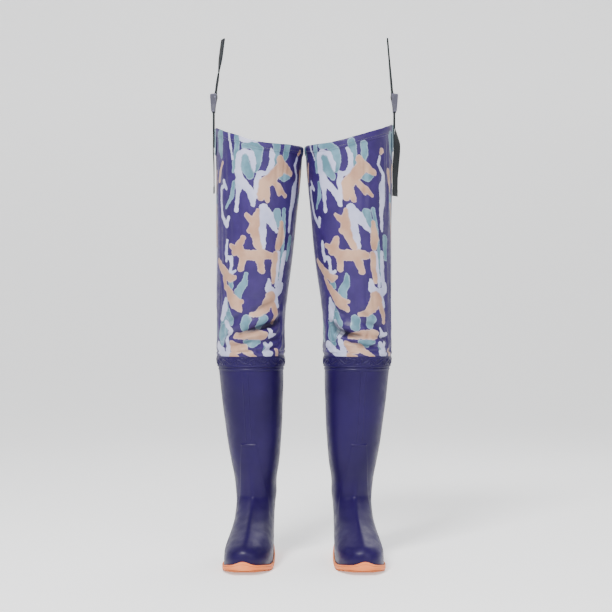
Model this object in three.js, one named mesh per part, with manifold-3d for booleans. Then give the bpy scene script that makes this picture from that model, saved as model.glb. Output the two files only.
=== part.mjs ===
// A pair of hip waders. Each one is a knee-high moulded boot with a coated-fabric leg welded into its cuff,
// and a webbing strap on the hip that carries a belt loop on a ladder-lock buckle.
// Millimetres, +Z up, toes towards -Y, the wearer's left leg at +X. The pair stands on its soles at z = 0.

import * as THREE from "three";
import { mergeVertices } from "three/addons/utils/BufferGeometryUtils.js";
import Module from "manifold-3d";

const wasm = await Module();
wasm.setup();

// ---------------------------------------------------------------- sizes

const gap = 0.3; // between any two pieces that touch
const around = 28; // corners of every round ring, a multiple of four
const toeCorner = (3 * around) / 4;

const foot = { length: 280, width: 90, heelReach: 64, toeOut: 5.2, height: 128 };
const shaft = { height: 402, ankleIn: 13, topWidth: 131, topDepth: 146, wall: 3 };
const sole = { tread: 8, heelLift: 11, toeSpring: 6, wall: 3, corner: 2.2, arch: 1.6 };
const soleWall = { low: 12, toeRise: 8, toeSpread: 17, heelRise: 12 };
const groove = { depth: 3.2, width: 4.5, pitch: 15.4, heelExtra: 1 };
const lining = { wall: 1.2 };
const insole = { thickness: 4, inset: 1.5 };
const band = { height: 29, wall: 2.2 };

// The fabric leg: its fullness is how much wider it is than the boot's mouth, and its flare is how far its
// outer edge stands outside the mouth. The knee cut and both hem heights are above the boot's mouth.
const cloth = { wall: 1.2, tuck: 22, bulge: 9, fullWidth: 8.6, fullDepth: 6, flare: 4 };
const knee = { height: 50 };
const thigh = { middleWidth: 157, middleDepth: 176, topWidth: 174.8, topDepth: 200 };
const hem = { outer: 456, inner: 410, fold: 14, wall: 1.0 };
const pair = { gap: 0.8 }; // between the two hems
const tape = { wall: 0.5, share: 0.5 };
const patch = { wall: 0.8, height: 46, share: 1 };

const webbing = { width: 25, wall: 1.5, sewn: 42 };
const neck = { height: 28, clear: 2 };
const buckle = { height: 36, rail: 2.5, side: 0.7, bar: 1.6, gripHeight: 12, loopHeight: 29, loopIn: 3.5 };
const lip = { reach: 2, height: 4, middle: 3 };
const loop = { height: 121, lean: 4.9, belly: 4.2, tip: 3.2 };
const tail = { length: 134, endFold: 12, endWall: 1 };
const tailTwist = { left: 24, right: 7 };

// Places that follow from the sizes: the leg stands clear of its pair, and the boot's outer side follows it.
const outerX = pair.gap / 2 + hem.wall + gap + thigh.topWidth;
const mouthX = outerX - cloth.flare - shaft.topWidth / 2;
const ankleX = mouthX - shaft.ankleIn;
const kneeWidth = shaft.topWidth + cloth.fullWidth;
const kneeDepth = shaft.topDepth + cloth.fullDepth;
const kneeZ = shaft.height + knee.height;
const hemLow = shaft.height + hem.inner;
const hemHigh = shaft.height + hem.outer;

// ---------------------------------------------------------------- small helpers

const lerp = THREE.MathUtils.lerp;
const smooth = THREE.MathUtils.smoothstep;
const radians = THREE.MathUtils.degToRad;
const point = (x, y, z) => new THREE.Vector3(x, y, z);

/** Value of a list of [position, value] pairs at a position, straight between pairs. */
function along(pairs, at) {
  const next = pairs.findIndex(([place]) => place >= at);
  if (next === 0) return pairs[0][1];
  if (next < 0) return pairs.at(-1)[1];
  const [[p0, v0], [p1, v1]] = [pairs[next - 1], pairs[next]];
  return lerp(v0, v1, (at - p0) / (p1 - p0));
}

/** Volume inside a triangle list, negative when its faces point inwards. */
function signedVolume(points, triangles) {
  let six = 0;
  for (let i = 0; i < triangles.length; i += 3) {
    const [a, b, c] = [0, 1, 2].map((k) => points[triangles[i + k]]);
    six += a.dot(b.clone().cross(c));
  }
  return six / 6;
}

/**
 * A skin over rings of equal length. Each four-cornered face is split along the same diagonal whichever way
 * the rings run, so that two skins a fixed distance apart never cross. It is capped at both ends, or joined
 * end to end when closed.
 */
function skin(rings, closed = false, capStart = 0) {
  const count = rings[0].length;
  const points = rings.flat();
  const triangles = [];
  const bands = closed ? rings.length : rings.length - 1;
  for (let i = 0; i < bands; i++) {
    const after = (i + 1) % rings.length;
    const [near, far] = [i * count, after * count];
    const rising = rings[i][0].z <= rings[after][0].z;
    for (let j = 0; j < count; j++) {
      const k = (j + 1) % count;
      if (rising) triangles.push(near + j, near + k, far + k, near + j, far + k, far + j);
      else triangles.push(near + j, near + k, far + j, near + k, far + k, far + j);
    }
  }
  if (!closed) {
    triangles.push(...cap(count, 0, capStart, true));
    triangles.push(...cap(count, (rings.length - 1) * count, capStart, false));
  }
  if (signedVolume(points, triangles) < 0) triangles.reverse();
  return new THREE.BufferGeometry().setFromPoints(points).setIndex(triangles);
}

/** Triangles that fill an end ring with rungs from side to side, starting at one corner or edge of it. */
function cap(count, first, start, backwards) {
  const triangles = [];
  const corner = (index) => first + ((index + count) % count);
  const add = (a, b, c) => {
    if (a !== b && b !== c && a !== c) triangles.push(...(backwards ? [a, c, b] : [a, b, c]));
  };
  const other = start === 0 ? count - 1 : start;
  for (let rung = 0; rung < count / 2; rung++) {
    const [right, left] = [corner(start + rung), corner(other - rung)];
    const [nextRight, nextLeft] = [corner(start + rung + 1), corner(other - rung - 1)];
    if (start === 0 && rung === count / 2 - 1) break;
    add(right, nextRight, left);
    add(nextRight, nextLeft, left);
  }
  return triangles;
}

/** A closed geometry as a solid that can be cut and joined. */
function solid(geometry) {
  const bare = geometry.index ? geometry.toNonIndexed() : geometry.clone();
  bare.deleteAttribute("normal");
  bare.deleteAttribute("uv");
  const merged = mergeVertices(bare, 1e-4);
  return new wasm.Manifold(
    new wasm.Mesh({
      numProp: 3,
      vertProperties: merged.attributes.position.array,
      triVerts: new Uint32Array(merged.index.array),
    }),
  );
}

/** A cut or joined solid as a geometry again. */
function geometryOf(made) {
  const mesh = made.getMesh();
  return new THREE.BufferGeometry()
    .setAttribute("position", new THREE.BufferAttribute(new Float32Array(mesh.vertProperties), 3))
    .setIndex(new THREE.BufferAttribute(new Uint32Array(mesh.triVerts), 1));
}

const material = (color, roughness, metalness = 0) =>
  new THREE.MeshStandardMaterial({ color, roughness, metalness });

const materials = {
  boot: material(0x35325f, 0.35),
  sole: material(0xe0a07a, 0.6),
  lining: material(0xd8d6cf, 0.9),
  insole: material(0xb9b4a8, 0.9),
  cloth: material(0x5a4f96, 0.5),
  backing: material(0x8f93a0, 0.8),
  webbing: material(0x23282b, 0.85),
  buckle: material(0x4a4955, 0.45),
};

// ---------------------------------------------------------------- boot

// Level outlines of the boot, from the sole line up. Each is an egg: half an oval behind its widest
// point and half an oval in front. Foot levels are shares of the foot's own height, length and width.
const footLevels = [
  // height, toe, heel, half width, widest point, squareness in front and behind, taper to the heel
  { height: 0.0, toe: 0.756, heel: 0.99, half: 0.5, widest: 0.46, front: 2.3, back: 2.9, taper: 0.3 },
  { height: 0.12, toe: 0.765, heel: 1.0, half: 0.505, widest: 0.46, front: 2.3, back: 2.9, taper: 0.3 },
  { height: 0.22, toe: 0.755, heel: 1.0, half: 0.505, widest: 0.44, front: 2.3, back: 2.8, taper: 0.29 },
  { height: 0.3, toe: 0.725, heel: 0.99, half: 0.493, widest: 0.39, front: 2.3, back: 2.7, taper: 0.26 },
  { height: 0.38, toe: 0.665, heel: 0.97, half: 0.475, widest: 0.32, front: 2.25, back: 2.6, taper: 0.21 },
  { height: 0.46, toe: 0.59, heel: 0.95, half: 0.457, widest: 0.25, front: 2.2, back: 2.5, taper: 0.16 },
  { height: 0.55, toe: 0.495, heel: 0.92, half: 0.44, widest: 0.18, front: 2.15, back: 2.4, taper: 0.1 },
  { height: 0.66, toe: 0.395, heel: 0.89, half: 0.425, widest: 0.12, front: 2.1, back: 2.3, taper: 0.05 },
  { height: 0.82, toe: 0.29, heel: 0.86, half: 0.425, widest: 0.06, front: 2, back: 2, taper: 0 },
  { height: 1.0, toe: 0.22, heel: 0.84, half: 0.445, widest: 0.03, front: 2, back: 2, taper: 0 },
];

// Shaft levels run from the top of the foot to the boot's mouth: shares of the height between them,
// and of the way that the width and depth grow.
const shaftLevels = [
  { rise: 0.09, grow: 0.06 },
  { rise: 0.23, grow: 0.31 },
  { rise: 0.39, grow: 0.54 },
  { rise: 0.59, grow: 0.75 },
  { rise: 0.79, grow: 0.9 },
  { rise: 1.0, grow: 1.0 },
];

/** Every level of the boot as lengths: height, reach forward and back, half width and centre line. */
function bootLevels() {
  const levels = footLevels.map((level) => ({
    z: lerp(sole.tread, foot.height, level.height),
    toe: level.toe * foot.length,
    heel: level.heel * foot.heelReach,
    half: level.half * foot.width,
    widest: level.widest * foot.length,
    front: level.front,
    back: level.back,
    taper: level.taper,
    x: ankleX,
    turn: foot.toeOut,
  }));
  const ankle = levels.at(-1);
  for (const { rise, grow } of shaftLevels) {
    levels.push({
      z: lerp(foot.height, shaft.height, rise),
      toe: lerp(ankle.toe, shaft.topDepth / 2, grow),
      heel: lerp(ankle.heel, shaft.topDepth / 2, grow),
      half: lerp(ankle.half, shaft.topWidth / 2, grow),
      widest: lerp(ankle.widest, 0, grow),
      front: 2,
      back: 2,
      taper: 0,
      x: lerp(ankleX, mouthX, rise),
      turn: foot.toeOut * (1 - smooth(rise, 0, 0.4)),
    });
  }
  return levels;
}

/** How far the toe turns up from the ground at a place along the foot. */
const toeSpring = (y) => sole.toeSpring * smooth(-y, 0.55 * foot.length, 0.77 * foot.length);

/** How far the boot's underside lifts off the ground: the heel block, and the toe's spring. */
const underLift = (y) => sole.heelLift * smooth(y, -0.22 * foot.length, -0.04 * foot.length) + toeSpring(y);

/** The corners of one level, counter-clockwise from the outer side. */
function levelRing(level) {
  return Array.from({ length: around }, (_, i) => {
    const angle = (2 * Math.PI * i) / around;
    const [c, s] = [Math.cos(angle), Math.sin(angle)];
    const behind = s > 0;
    const reach = behind ? level.heel + level.widest : level.toe - level.widest;
    const power = behind ? level.back : level.front;
    const across = Math.sign(c) * Math.abs(c) ** (2 / power);
    const run = Math.sign(s) * Math.abs(s) ** (2 / power);
    const narrow = behind ? 1 - level.taper * run : 1;
    const [x, y] = [level.half * narrow * across, reach * run - level.widest];
    const turned = point(x, y, 0).applyAxisAngle(point(0, 0, 1), radians(level.turn));
    const fade = Math.max(0, 1 - level.z / foot.height);
    return point(level.x + turned.x, turned.y, level.z + underLift(y) * fade);
  });
}

/** The boot's rings moved along their own normals, outwards when the distance is positive. */
function bootRings(distance = 0) {
  const rings = bootLevels().map(levelRing);
  return rings.map((ring, i) =>
    ring.map((p, j) => {
      const next = ring[(j + 1) % around].clone().sub(ring[(j + around - 1) % around]);
      const [below, above] = [rings[Math.max(i - 1, 0)][j], rings[Math.min(i + 1, rings.length - 1)][j]];
      const normal = next.cross(above.clone().sub(below)).normalize();
      if (i < 2 || i === rings.length - 1) normal.setZ(0).normalize();
      return p.clone().addScaledVector(normal, distance);
    }),
  );
}

/** A boot ring at any height of the upper shaft, moved outwards by a distance. */
function shaftRing(z, distance) {
  const rings = bootRings(distance);
  const next = Math.max(1, rings.findIndex((ring) => ring[0].z >= z - 1e-6));
  if (rings[next][0].z < z) return rings.at(-1);
  const [low, high] = [rings[next - 1][0].z, rings[next][0].z];
  return rings[next].map((p, j) => rings[next - 1][j].clone().lerp(p, (z - low) / (high - low)));
}

/** A cup with the boot's shape, its outside and its inside each at a depth under the boot's surface. */
function bootCup(outside, inside) {
  const floor = (rings, depth) => {
    const ground = bootRings(0)[0];
    rings[0].forEach((p, j) => p.setZ(ground[j].z + depth));
    return rings;
  };
  const outer = floor(bootRings(-outside), outside);
  const inner = floor(bootRings(-inside), inside);
  return skin([...outer, ...inner.reverse()], false, toeCorner);
}

const shellGeometry = () => bootCup(0, shaft.wall);
const liningGeometry = () => bootCup(shaft.wall + gap, shaft.wall + gap + lining.wall);

/** The footbed, which lies on the lining's floor. */
function insoleGeometry() {
  const depth = shaft.wall + gap + lining.wall;
  const edge = bootRings(-(depth + insole.inset))[0];
  const floor = bootRings(0)[0];
  const at = (rise) => edge.map((p, j) => p.clone().setZ(floor[j].z + depth + rise));
  return skin([at(gap), at(gap + insole.thickness)], false, toeCorner);
}

/** How high the outsole's side wall stands around the boot: high at the toe and heel, low beside the toe. */
function wallHeight(x, y) {
  const fromMiddle = x - ankleX + y * Math.tan(radians(foot.toeOut));
  const toePeak = Math.exp(-((fromMiddle / soleWall.toeSpread) ** 2));
  const toe = soleWall.toeRise * toePeak * smooth(-y, 0.55 * foot.length, 0.7 * foot.length);
  return soleWall.low + toe + soleWall.heelRise * smooth(y, -0.15 * foot.length, 0.05 * foot.length);
}

/** The outsole: a tray round the boot's foot, with a heel block and cross grooves. */
function outsoleGeometry() {
  const [inside, outside] = [bootRings(gap), bootRings(gap + sole.wall)];
  const spring = (p, z) => p.clone().setZ(z + toeSpring(p.y));
  const edge = (rings) => rings[1].map((p) => spring(p, wallHeight(p.x, p.y)));
  const under = bootRings(gap + sole.wall - sole.corner)[0].map((p) => spring(p, 0));
  const corner = outside[0].map((p) => spring(p, sole.corner));
  const floor = inside[0].map((p) => p.clone().setZ(p.z - gap));
  let made = solid(skin([under, corner, edge(outside), edge(inside), floor], false, toeCorner));
  const cut = (y, width, depth) => {
    const tool = new THREE.BoxGeometry(2 * foot.width, width, 2 * depth);
    made = made.subtract(solid(tool.translate(ankleX, y, 0)));
  };
  cut(-0.115 * foot.length, 0.16 * foot.length, groove.depth + sole.arch);
  const [ball, toeEnd] = [-0.27 * foot.length, -0.62 * foot.length];
  for (let y = ball; y > toeEnd; y -= groove.pitch) cut(y, groove.width, groove.depth);
  const [heel, heelEnd, heelDepth] = [0.01 * foot.length, 0.2 * foot.length, groove.depth + groove.heelExtra];
  for (let y = heel; y < heelEnd; y += groove.pitch) cut(y, groove.width, heelDepth);
  return geometryOf(made);
}

// ---------------------------------------------------------------- fabric leg

/** Width and depth of the thigh length at a share of the way from the knee cut to the hem. */
function legSize(share) {
  const grown = (low, middle, high) => along([[0, low], [0.45, middle], [1, high]], share);
  return {
    width: grown(kneeWidth, thigh.middleWidth, thigh.topWidth),
    depth: grown(kneeDepth, thigh.middleDepth, thigh.topDepth),
  };
}

/** Height of the hem's slanting edge at a distance across the leg. */
const hemHeight = (x) => lerp(hemLow, hemHigh, (x - (outerX - thigh.topWidth)) / thigh.topWidth);

/** One ring round the leg, moved outwards by a distance, with its height given for each place across. */
function legRing(share, distance, height) {
  const { width, depth } = legSize(share);
  const centre = outerX - width / 2;
  return Array.from({ length: around }, (_, i) => {
    const angle = (2 * Math.PI * i) / around;
    const [c, s] = [Math.cos(angle), Math.sin(angle)];
    const z = height(centre + (width / 2) * c);
    return point(centre + (width / 2 + distance) * c, (depth / 2 + distance) * s, z);
  });
}

const kneeCut = gap; // half of the slit between the knee and thigh lengths
const tuckTop = shaft.height + gap;
const thighFoot = kneeZ + kneeCut;

/** Rings of the knee length: tucked round the boot's mouth, then bulging over the cuff. */
function kneeRings(distance) {
  const outside = gap + cloth.wall + distance;
  const tucked = (z) => shaftRing(Math.min(z, shaft.height), outside).map((p) => p.clone().setZ(z));
  const free = (share) => legRing(0, distance, () => lerp(tuckTop + cloth.bulge, kneeZ - kneeCut, share));
  return [tucked(shaft.height - cloth.tuck), tucked(tuckTop), free(0), free(0.5), free(1)];
}

/** A thigh ring at a share of the way up to the slanting hem, and a rise above that. */
const thighRing = (share, distance, rise = 0) =>
  legRing(share, distance, (x) => lerp(thighFoot, hemHeight(x), share) + rise);

/** The share of the way up at a depth under the hem. */
const underHem = (depth) => 1 - depth / (hemLow - thighFoot);

/** Rings of the thigh length, up to a share of the way to the hem. */
const thighRings = (distance, top = 1) =>
  [0, 0.17, 0.33, 0.45, 0.6, 0.78, top].map((share) => thighRing(share, distance));

/** A thin tube between two sets of rings. */
const tube = (outer, inner) => skin([...outer, ...inner.reverse()], true);

const kneeGeometry = () => tube(kneeRings(0), kneeRings(-cloth.wall));
const thighGeometry = () => tube(thighRings(0), thighRings(-cloth.wall));

/** The cuff band, welded over the fabric's tucked edge. */
function bandGeometry() {
  const inside = 2 * gap + cloth.wall;
  const [low, high] = [shaft.height - band.height, shaft.height];
  const at = (z, distance) => shaftRing(z, distance);
  const full = inside + band.wall;
  return tube(
    [at(low, full - 1), at(low + 2, full), at(high - 2, full), at(high, full - 1)],
    [at(low, inside), at(low + 2, inside), at(high - 2, inside), at(high, inside)],
  );
}

/** The hem: a fold of the fabric over the leg's top edge. */
function hemGeometry() {
  const [inner, outer] = [-(cloth.wall + gap), gap];
  const low = underHem(hem.fold);
  return skin(
    [
      thighRing(low, outer + hem.wall),
      thighRing(1, outer + hem.wall, gap + hem.wall),
      thighRing(1, inner - hem.wall, gap + hem.wall),
      thighRing(low, inner - hem.wall),
      thighRing(low, inner),
      thighRing(1, inner, gap),
      thighRing(1, outer, gap),
      thighRing(low, outer),
    ],
    true,
  );
}

/** A place on a ring between two of its corners. */
function between(ring, index) {
  const low = Math.floor(index);
  return ring[(low + around) % around].clone().lerp(ring[(low + 1 + around) % around], index - low);
}

/** A strip that follows the leg, centred on one corner and reaching a share of a facet each way. */
function strip(rings, corner, share, wall, outwards) {
  const sections = rings(0).map((_, i) => {
    const at = (index, distance) => between(rings(distance)[i], index);
    const [near, far] = outwards ? [0, wall] : [0, -wall];
    const row = [corner - share, corner, corner + share];
    return [...row.map((index) => at(index, near)), ...row.reverse().map((index) => at(index, far))];
  });
  return skin(sections);
}

const rear = around / 4;
const insideFace = -(cloth.wall + gap);
const kneeTape = () => strip((d) => kneeRings(insideFace + d).slice(2), rear, tape.share, tape.wall, false);
const thighTape = () =>
  strip((d) => thighRings(insideFace + d, underHem(hem.fold + 1)), rear, tape.share, tape.wall, false);

const patchFace = 2 * gap + hem.wall;

/** The corner patch, welded outside the hem where the strap is sewn. */
function patchGeometry() {
  const rings = (d) => [patch.height, hem.fold, 0].map((depth) => thighRing(underHem(depth), patchFace + d));
  return strip(rings, 0, patch.share, patch.wall, true);
}

// ---------------------------------------------------------------- strap

/** A ribbon of webbing along a path. Each stop says where, its width direction, and its thickness. */
function ribbon(stops, closed = false) {
  const last = stops.length - 1;
  const rings = stops.map(({ at, wide, wall = webbing.wall }, i) => {
    const before = closed ? stops[(i + last) % stops.length].at : stops[Math.max(i - 1, 0)].at;
    const after = closed ? stops[(i + 1) % stops.length].at : stops[Math.min(i + 1, last)].at;
    const thick = after.clone().sub(before).cross(wide).setLength(wall / 2);
    const half = wide.clone().setLength(webbing.width / 2);
    return [[1, 1], [-1, 1], [-1, -1], [1, -1]].map(([w, t]) =>
      at.clone().addScaledVector(half, w).addScaledVector(thick, t),
    );
  });
  return skin(rings, closed);
}

const acrossStrap = point(0, 1, 0);
const straight = (places) => ribbon(places.map(([x, z]) => ({ at: point(x, 0, z), wide: acrossStrap })));

const anchorX = outerX + patchFace + patch.wall + gap + webbing.wall / 2;
const runningX = anchorX + gap + webbing.wall;
const neckX = (anchorX + runningX) / 2;
const neckFoot = hemHeight(outerX) + gap + hem.wall + neck.clear;
const neckTop = neckFoot + neck.height - gap;
const buckleFoot = neckTop + gap;

const anchorGeometry = () => straight([[anchorX, neckFoot - webbing.sewn], [anchorX, neckFoot - gap]]);
const standingGeometry = () => straight([[anchorX, neckFoot], [anchorX, neckTop]]);
const runningGeometry = () => straight([[runningX, neckFoot], [runningX, neckTop]]);

const wrap = buckle.bar + gap + webbing.wall / 2; // radius of webbing bent round a bar
const gripZ = buckleFoot + buckle.gripHeight;
const loopBar = { x: neckX - buckle.loopIn, z: buckleFoot + buckle.loopHeight };

/** Stops of an arc in the strap's own plane, from one angle to another, in degrees from outwards. */
function arc(x, z, radius, from, to, steps) {
  return Array.from({ length: steps + 1 }, (_, i) => {
    const angle = radians(lerp(from, to, i / steps));
    return [x + radius * Math.cos(angle), z + radius * Math.sin(angle)];
  });
}

/** The turn of webbing over the grip bar, from the neck's inner length to its outer length. */
function turnGeometry() {
  const lead = 1;
  return straight([
    [anchorX, buckleFoot],
    [anchorX, buckleFoot + lead],
    ...arc(neckX, gripZ, wrap, 180, 0, 6),
    [runningX, buckleFoot + lead],
    [runningX, buckleFoot],
  ]);
}

/** The ladder lock: two wedge-shaped rails, a grip bar, a loop bar and a thumb lip. */
function buckleGeometry() {
  const shoulder = buckle.height - 3;
  const outer = [[4.2, 0], [6.8, shoulder], [5.6, buckle.height]];
  const inner = [[-5.4, buckle.height], [-7, shoulder], [-3.4, 0]];
  const outline = new THREE.Shape([...outer, ...inner].map(([x, z]) => new THREE.Vector2(x, z)));
  const inside = webbing.width / 2 + buckle.side;
  const span = 2 * (inside + buckle.rail);
  const rail = (y) =>
    solid(
      new THREE.ExtrudeGeometry(outline, { depth: buckle.rail, bevelEnabled: false })
        .rotateX(Math.PI / 2)
        .translate(neckX, y, buckleFoot),
    );
  const barWidth = span - 1;
  const rod = new THREE.CylinderGeometry(buckle.bar, buckle.bar, barWidth, 10);
  const bar = (x, z) => solid(rod.clone().translate(x, 0, z));
  const lipX = neckX + wrap + webbing.wall / 2 + gap + lip.reach / 2;
  const lipBlock = new THREE.BoxGeometry(lip.reach, barWidth, lip.height);
  lipBlock.translate(lipX, 0, buckleFoot + lip.middle);
  const made = rail(inside + buckle.rail)
    .add(rail(-inside))
    .add(bar(neckX, gripZ))
    .add(bar(loopBar.x, loopBar.z))
    .add(solid(lipBlock));
  return geometryOf(made);
}

/** The belt loop: one closed turn of webbing round the loop bar, leaning in over the hip. */
function loopGeometry() {
  const rise = loop.height - wrap - loop.tip;
  const side = (sign) =>
    [0.12, 0.3, 0.5, 0.7, 0.88].map((share) => {
      const bulge = loop.belly * Math.sin(Math.PI * share) ** 1.5;
      return [sign * (lerp(wrap, loop.tip, share) + bulge), rise * share];
    });
  const outline = [
    ...arc(0, 0, wrap, 180, 360, 6),
    ...side(1),
    ...arc(0, rise, loop.tip, 0, 180, 6),
    ...side(-1).reverse(),
  ];
  const tilt = radians(loop.lean);
  const places = outline.map(([x, z]) => ({
    at: point(
      loopBar.x + x * Math.cos(tilt) - z * Math.sin(tilt),
      0,
      loopBar.z + x * Math.sin(tilt) + z * Math.cos(tilt),
    ),
    wide: acrossStrap,
  }));
  return ribbon(places, true);
}

/** The free tail: webbing that hangs down outside the hip, turning its face as it goes. */
function tailGeometry(twist) {
  const top = neckFoot - gap;
  const end = top - tail.length;
  const swell = [[0, 0], [0.12, 0.45], [0.28, 1], [0.55, 0.95], [0.75, 0.72], [1, 0.62]];
  const stops = [0, 0.06, 0.12, 0.2, 0.28, 0.4, 0.55, 0.65, 0.75, 0.88, 1].map((share) => {
    const turn = radians(twist * along(swell, share));
    const stand = (webbing.width / 2) * Math.sin(turn) + webbing.wall * (1 - Math.cos(turn));
    return {
      at: point(runningX + stand, 0, lerp(top, end, share)),
      wide: point(Math.sin(turn), Math.cos(turn), 0),
      wall: webbing.wall + (share > 1 - tail.endFold / tail.length ? tail.endWall : 0),
    };
  });
  return ribbon(stops);
}

// ---------------------------------------------------------------- assembly

const pieces = (side) => [
  ["outsole", outsoleGeometry, materials.sole],
  ["boot_shell", shellGeometry, materials.boot],
  ["boot_lining", liningGeometry, materials.lining],
  ["insole", insoleGeometry, materials.insole],
  ["cuff_band", bandGeometry, materials.boot],
  ["knee_fabric", kneeGeometry, materials.cloth],
  ["knee_seam_tape", kneeTape, materials.backing],
  ["thigh_fabric", thighGeometry, materials.cloth],
  ["thigh_seam_tape", thighTape, materials.backing],
  ["top_hem", hemGeometry, materials.cloth],
  ["corner_patch", patchGeometry, materials.cloth],
  ["strap_anchor", anchorGeometry, materials.webbing],
  ["neck_inner_webbing", standingGeometry, materials.webbing],
  ["neck_outer_webbing", runningGeometry, materials.webbing],
  ["strap_turn", turnGeometry, materials.webbing],
  ["ladder_lock", buckleGeometry, materials.buckle],
  ["belt_loop", loopGeometry, materials.webbing],
  ["strap_tail", () => tailGeometry(tailTwist[side]), materials.webbing],
];

/** One wader, built as a left leg and mirrored for the right. */
function wader(side) {
  const leg = new THREE.Group();
  for (const [name, build, finish] of pieces(side)) {
    const mesh = new THREE.Mesh(build(), finish);
    mesh.name = `${side}_${name}`;
    leg.add(mesh);
  }
  if (side === "right") leg.scale.x = -1;
  return leg;
}

const waders = new THREE.Group();
waders.add(wader("left"), wader("right"));
const bounds = new THREE.Box3().setFromObject(waders, true);
const middle = bounds.getCenter(point(0, 0, 0));
waders.position.set(0, -middle.y, -bounds.min.z);

export default waders;
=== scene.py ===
"""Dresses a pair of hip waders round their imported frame: moulded boots, printed cloth legs and hip straps."""

from __future__ import annotations

import logging
import math
from collections.abc import Callable, Sequence
from dataclasses import dataclass, field
from enum import Enum

import bpy
import numpy as np
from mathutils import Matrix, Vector


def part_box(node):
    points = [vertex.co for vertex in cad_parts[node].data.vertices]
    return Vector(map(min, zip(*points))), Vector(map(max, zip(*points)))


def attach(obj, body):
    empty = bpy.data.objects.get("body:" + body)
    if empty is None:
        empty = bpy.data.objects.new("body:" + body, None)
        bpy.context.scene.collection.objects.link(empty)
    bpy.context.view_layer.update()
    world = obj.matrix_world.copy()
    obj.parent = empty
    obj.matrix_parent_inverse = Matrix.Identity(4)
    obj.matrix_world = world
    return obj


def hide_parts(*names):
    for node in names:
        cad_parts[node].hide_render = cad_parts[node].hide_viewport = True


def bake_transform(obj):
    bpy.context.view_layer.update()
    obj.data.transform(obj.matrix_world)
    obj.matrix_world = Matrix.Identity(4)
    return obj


Array = np.ndarray
Piece = bpy.types.Object
Socket = bpy.types.NodeSocket
Value = Socket | float | Sequence[float]
Inputs = dict[str | int, Value]
Colour = tuple[float, float, float, float]
Pair = tuple[float, float]
Faces = list[tuple[int, ...]]
Mesh = tuple[Array, Faces]

log = logging.getLogger("waders")
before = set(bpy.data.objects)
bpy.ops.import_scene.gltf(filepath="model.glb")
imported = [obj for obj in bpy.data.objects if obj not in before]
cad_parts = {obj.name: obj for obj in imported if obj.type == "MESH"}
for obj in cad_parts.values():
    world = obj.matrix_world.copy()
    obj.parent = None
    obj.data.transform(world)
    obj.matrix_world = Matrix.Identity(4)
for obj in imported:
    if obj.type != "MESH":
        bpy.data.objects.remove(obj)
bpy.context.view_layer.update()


# ---------------------------------------------------------------- choices


class Side(Enum):
    """Which leg of the pair, as the sign of its place across the pair."""

    LEFT = 1
    RIGHT = -1

    def named(self, piece: str) -> str:
        """The name of this side's piece."""
        return f"{self.name.lower()}_{piece}"


class Ink(Enum):
    """The colours printed over the cloth's ground, in the order that they are laid down."""

    AQUA = "ink_aqua"
    PALE = "ink_pale"
    AQUA_TOP = "ink_aqua_top"
    BEIGE = "ink_beige"


# ---------------------------------------------------------------- numbers


def step(value: Array, low: float, high: float) -> Array:
    """A smooth rise from 0 at low to 1 at high, or a fall where high is below low."""
    share = np.clip((np.asarray(value, float) - low) / (high - low), 0, 1)
    return share * share * (3 - 2 * share)


def bump(value: Array, width: float) -> Array:
    """A rounded ridge of height 1 at value 0, about twice width across."""
    return np.exp(-((np.asarray(value, float) / width) ** 2))


def flowing(places: Sequence[float], values: Sequence[float], at: Array) -> Array:
    """Smooth interpolation that never overshoots its points.

    Args:
        places: Rising positions of the points.
        values: The value at each point.
        at: Where to evaluate the curve.

    Returns:
        The curve's value at each place asked for.
    """
    x, y = np.asarray(places, float), np.asarray(values, float)
    slope = np.diff(y) / np.diff(x)
    tangent = np.zeros_like(y)
    tangent[0], tangent[-1] = slope[0], slope[-1]
    both = slope[:-1] * slope[1:]
    tangent[1:-1] = np.where(both > 0, 2 * both / np.where(both > 0, slope[:-1] + slope[1:], 1), 0)
    at = np.clip(np.asarray(at, float), x[0], x[-1])
    i = np.clip(np.searchsorted(x, at) - 1, 0, len(x) - 2)
    span = x[i + 1] - x[i]
    t = (at - x[i]) / span
    first = (1 + 2 * t) * (1 - t) ** 2 * y[i] + t * (1 - t) ** 2 * span * tangent[i]
    return first + t * t * (3 - 2 * t) * y[i + 1] + t * t * (t - 1) * span * tangent[i + 1]


def unevenness(u: Array, v: Array, size: float, seed: int) -> Array:
    """A calm irregular wave between about -1 and 1.

    Args:
        u: First coordinate, in metres.
        v: Second coordinate, in metres.
        size: Typical width of one swell, in metres.
        seed: Which of many such waves.

    Returns:
        The wave's height at each point.
    """
    random = np.random.default_rng(seed)
    total = np.zeros(np.broadcast(u, v).shape)
    angles, phases = random.uniform(0, np.pi, 5), random.uniform(0, 6.3, 5)
    for angle, phase, scale in zip(angles, phases, (0.7, 0.9, 1.1, 1.4, 1.9)):
        total = total + np.sin((u * np.cos(angle) + v * np.sin(angle)) * scale * np.pi / size + phase)
    return total / 3


def colour(red: float, green: float, blue: float) -> Colour:
    """A screen colour, each channel from 0 to 255, as a linear one."""
    linear = [((c / 255 + 0.055) / 1.055) ** 2.4 if c > 10 else c / 255 / 12.92 for c in (red, green, blue)]
    return (*linear, 1.0)


# ---------------------------------------------------------------- meshes


def normals_of(rows: Array) -> Array:
    """Unit normals of a skin given as rings of points, pointing away from the ring's inside.

    Args:
        rows: Points, by ring and corner.

    Returns:
        The normals, in the same shape.
    """
    around = np.roll(rows, -1, axis=1) - np.roll(rows, 1, axis=1)
    upward = np.gradient(rows, axis=0)
    normal = np.cross(around, upward)
    return normal / np.maximum(np.linalg.norm(normal, axis=2, keepdims=True), 1e-12)


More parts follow.
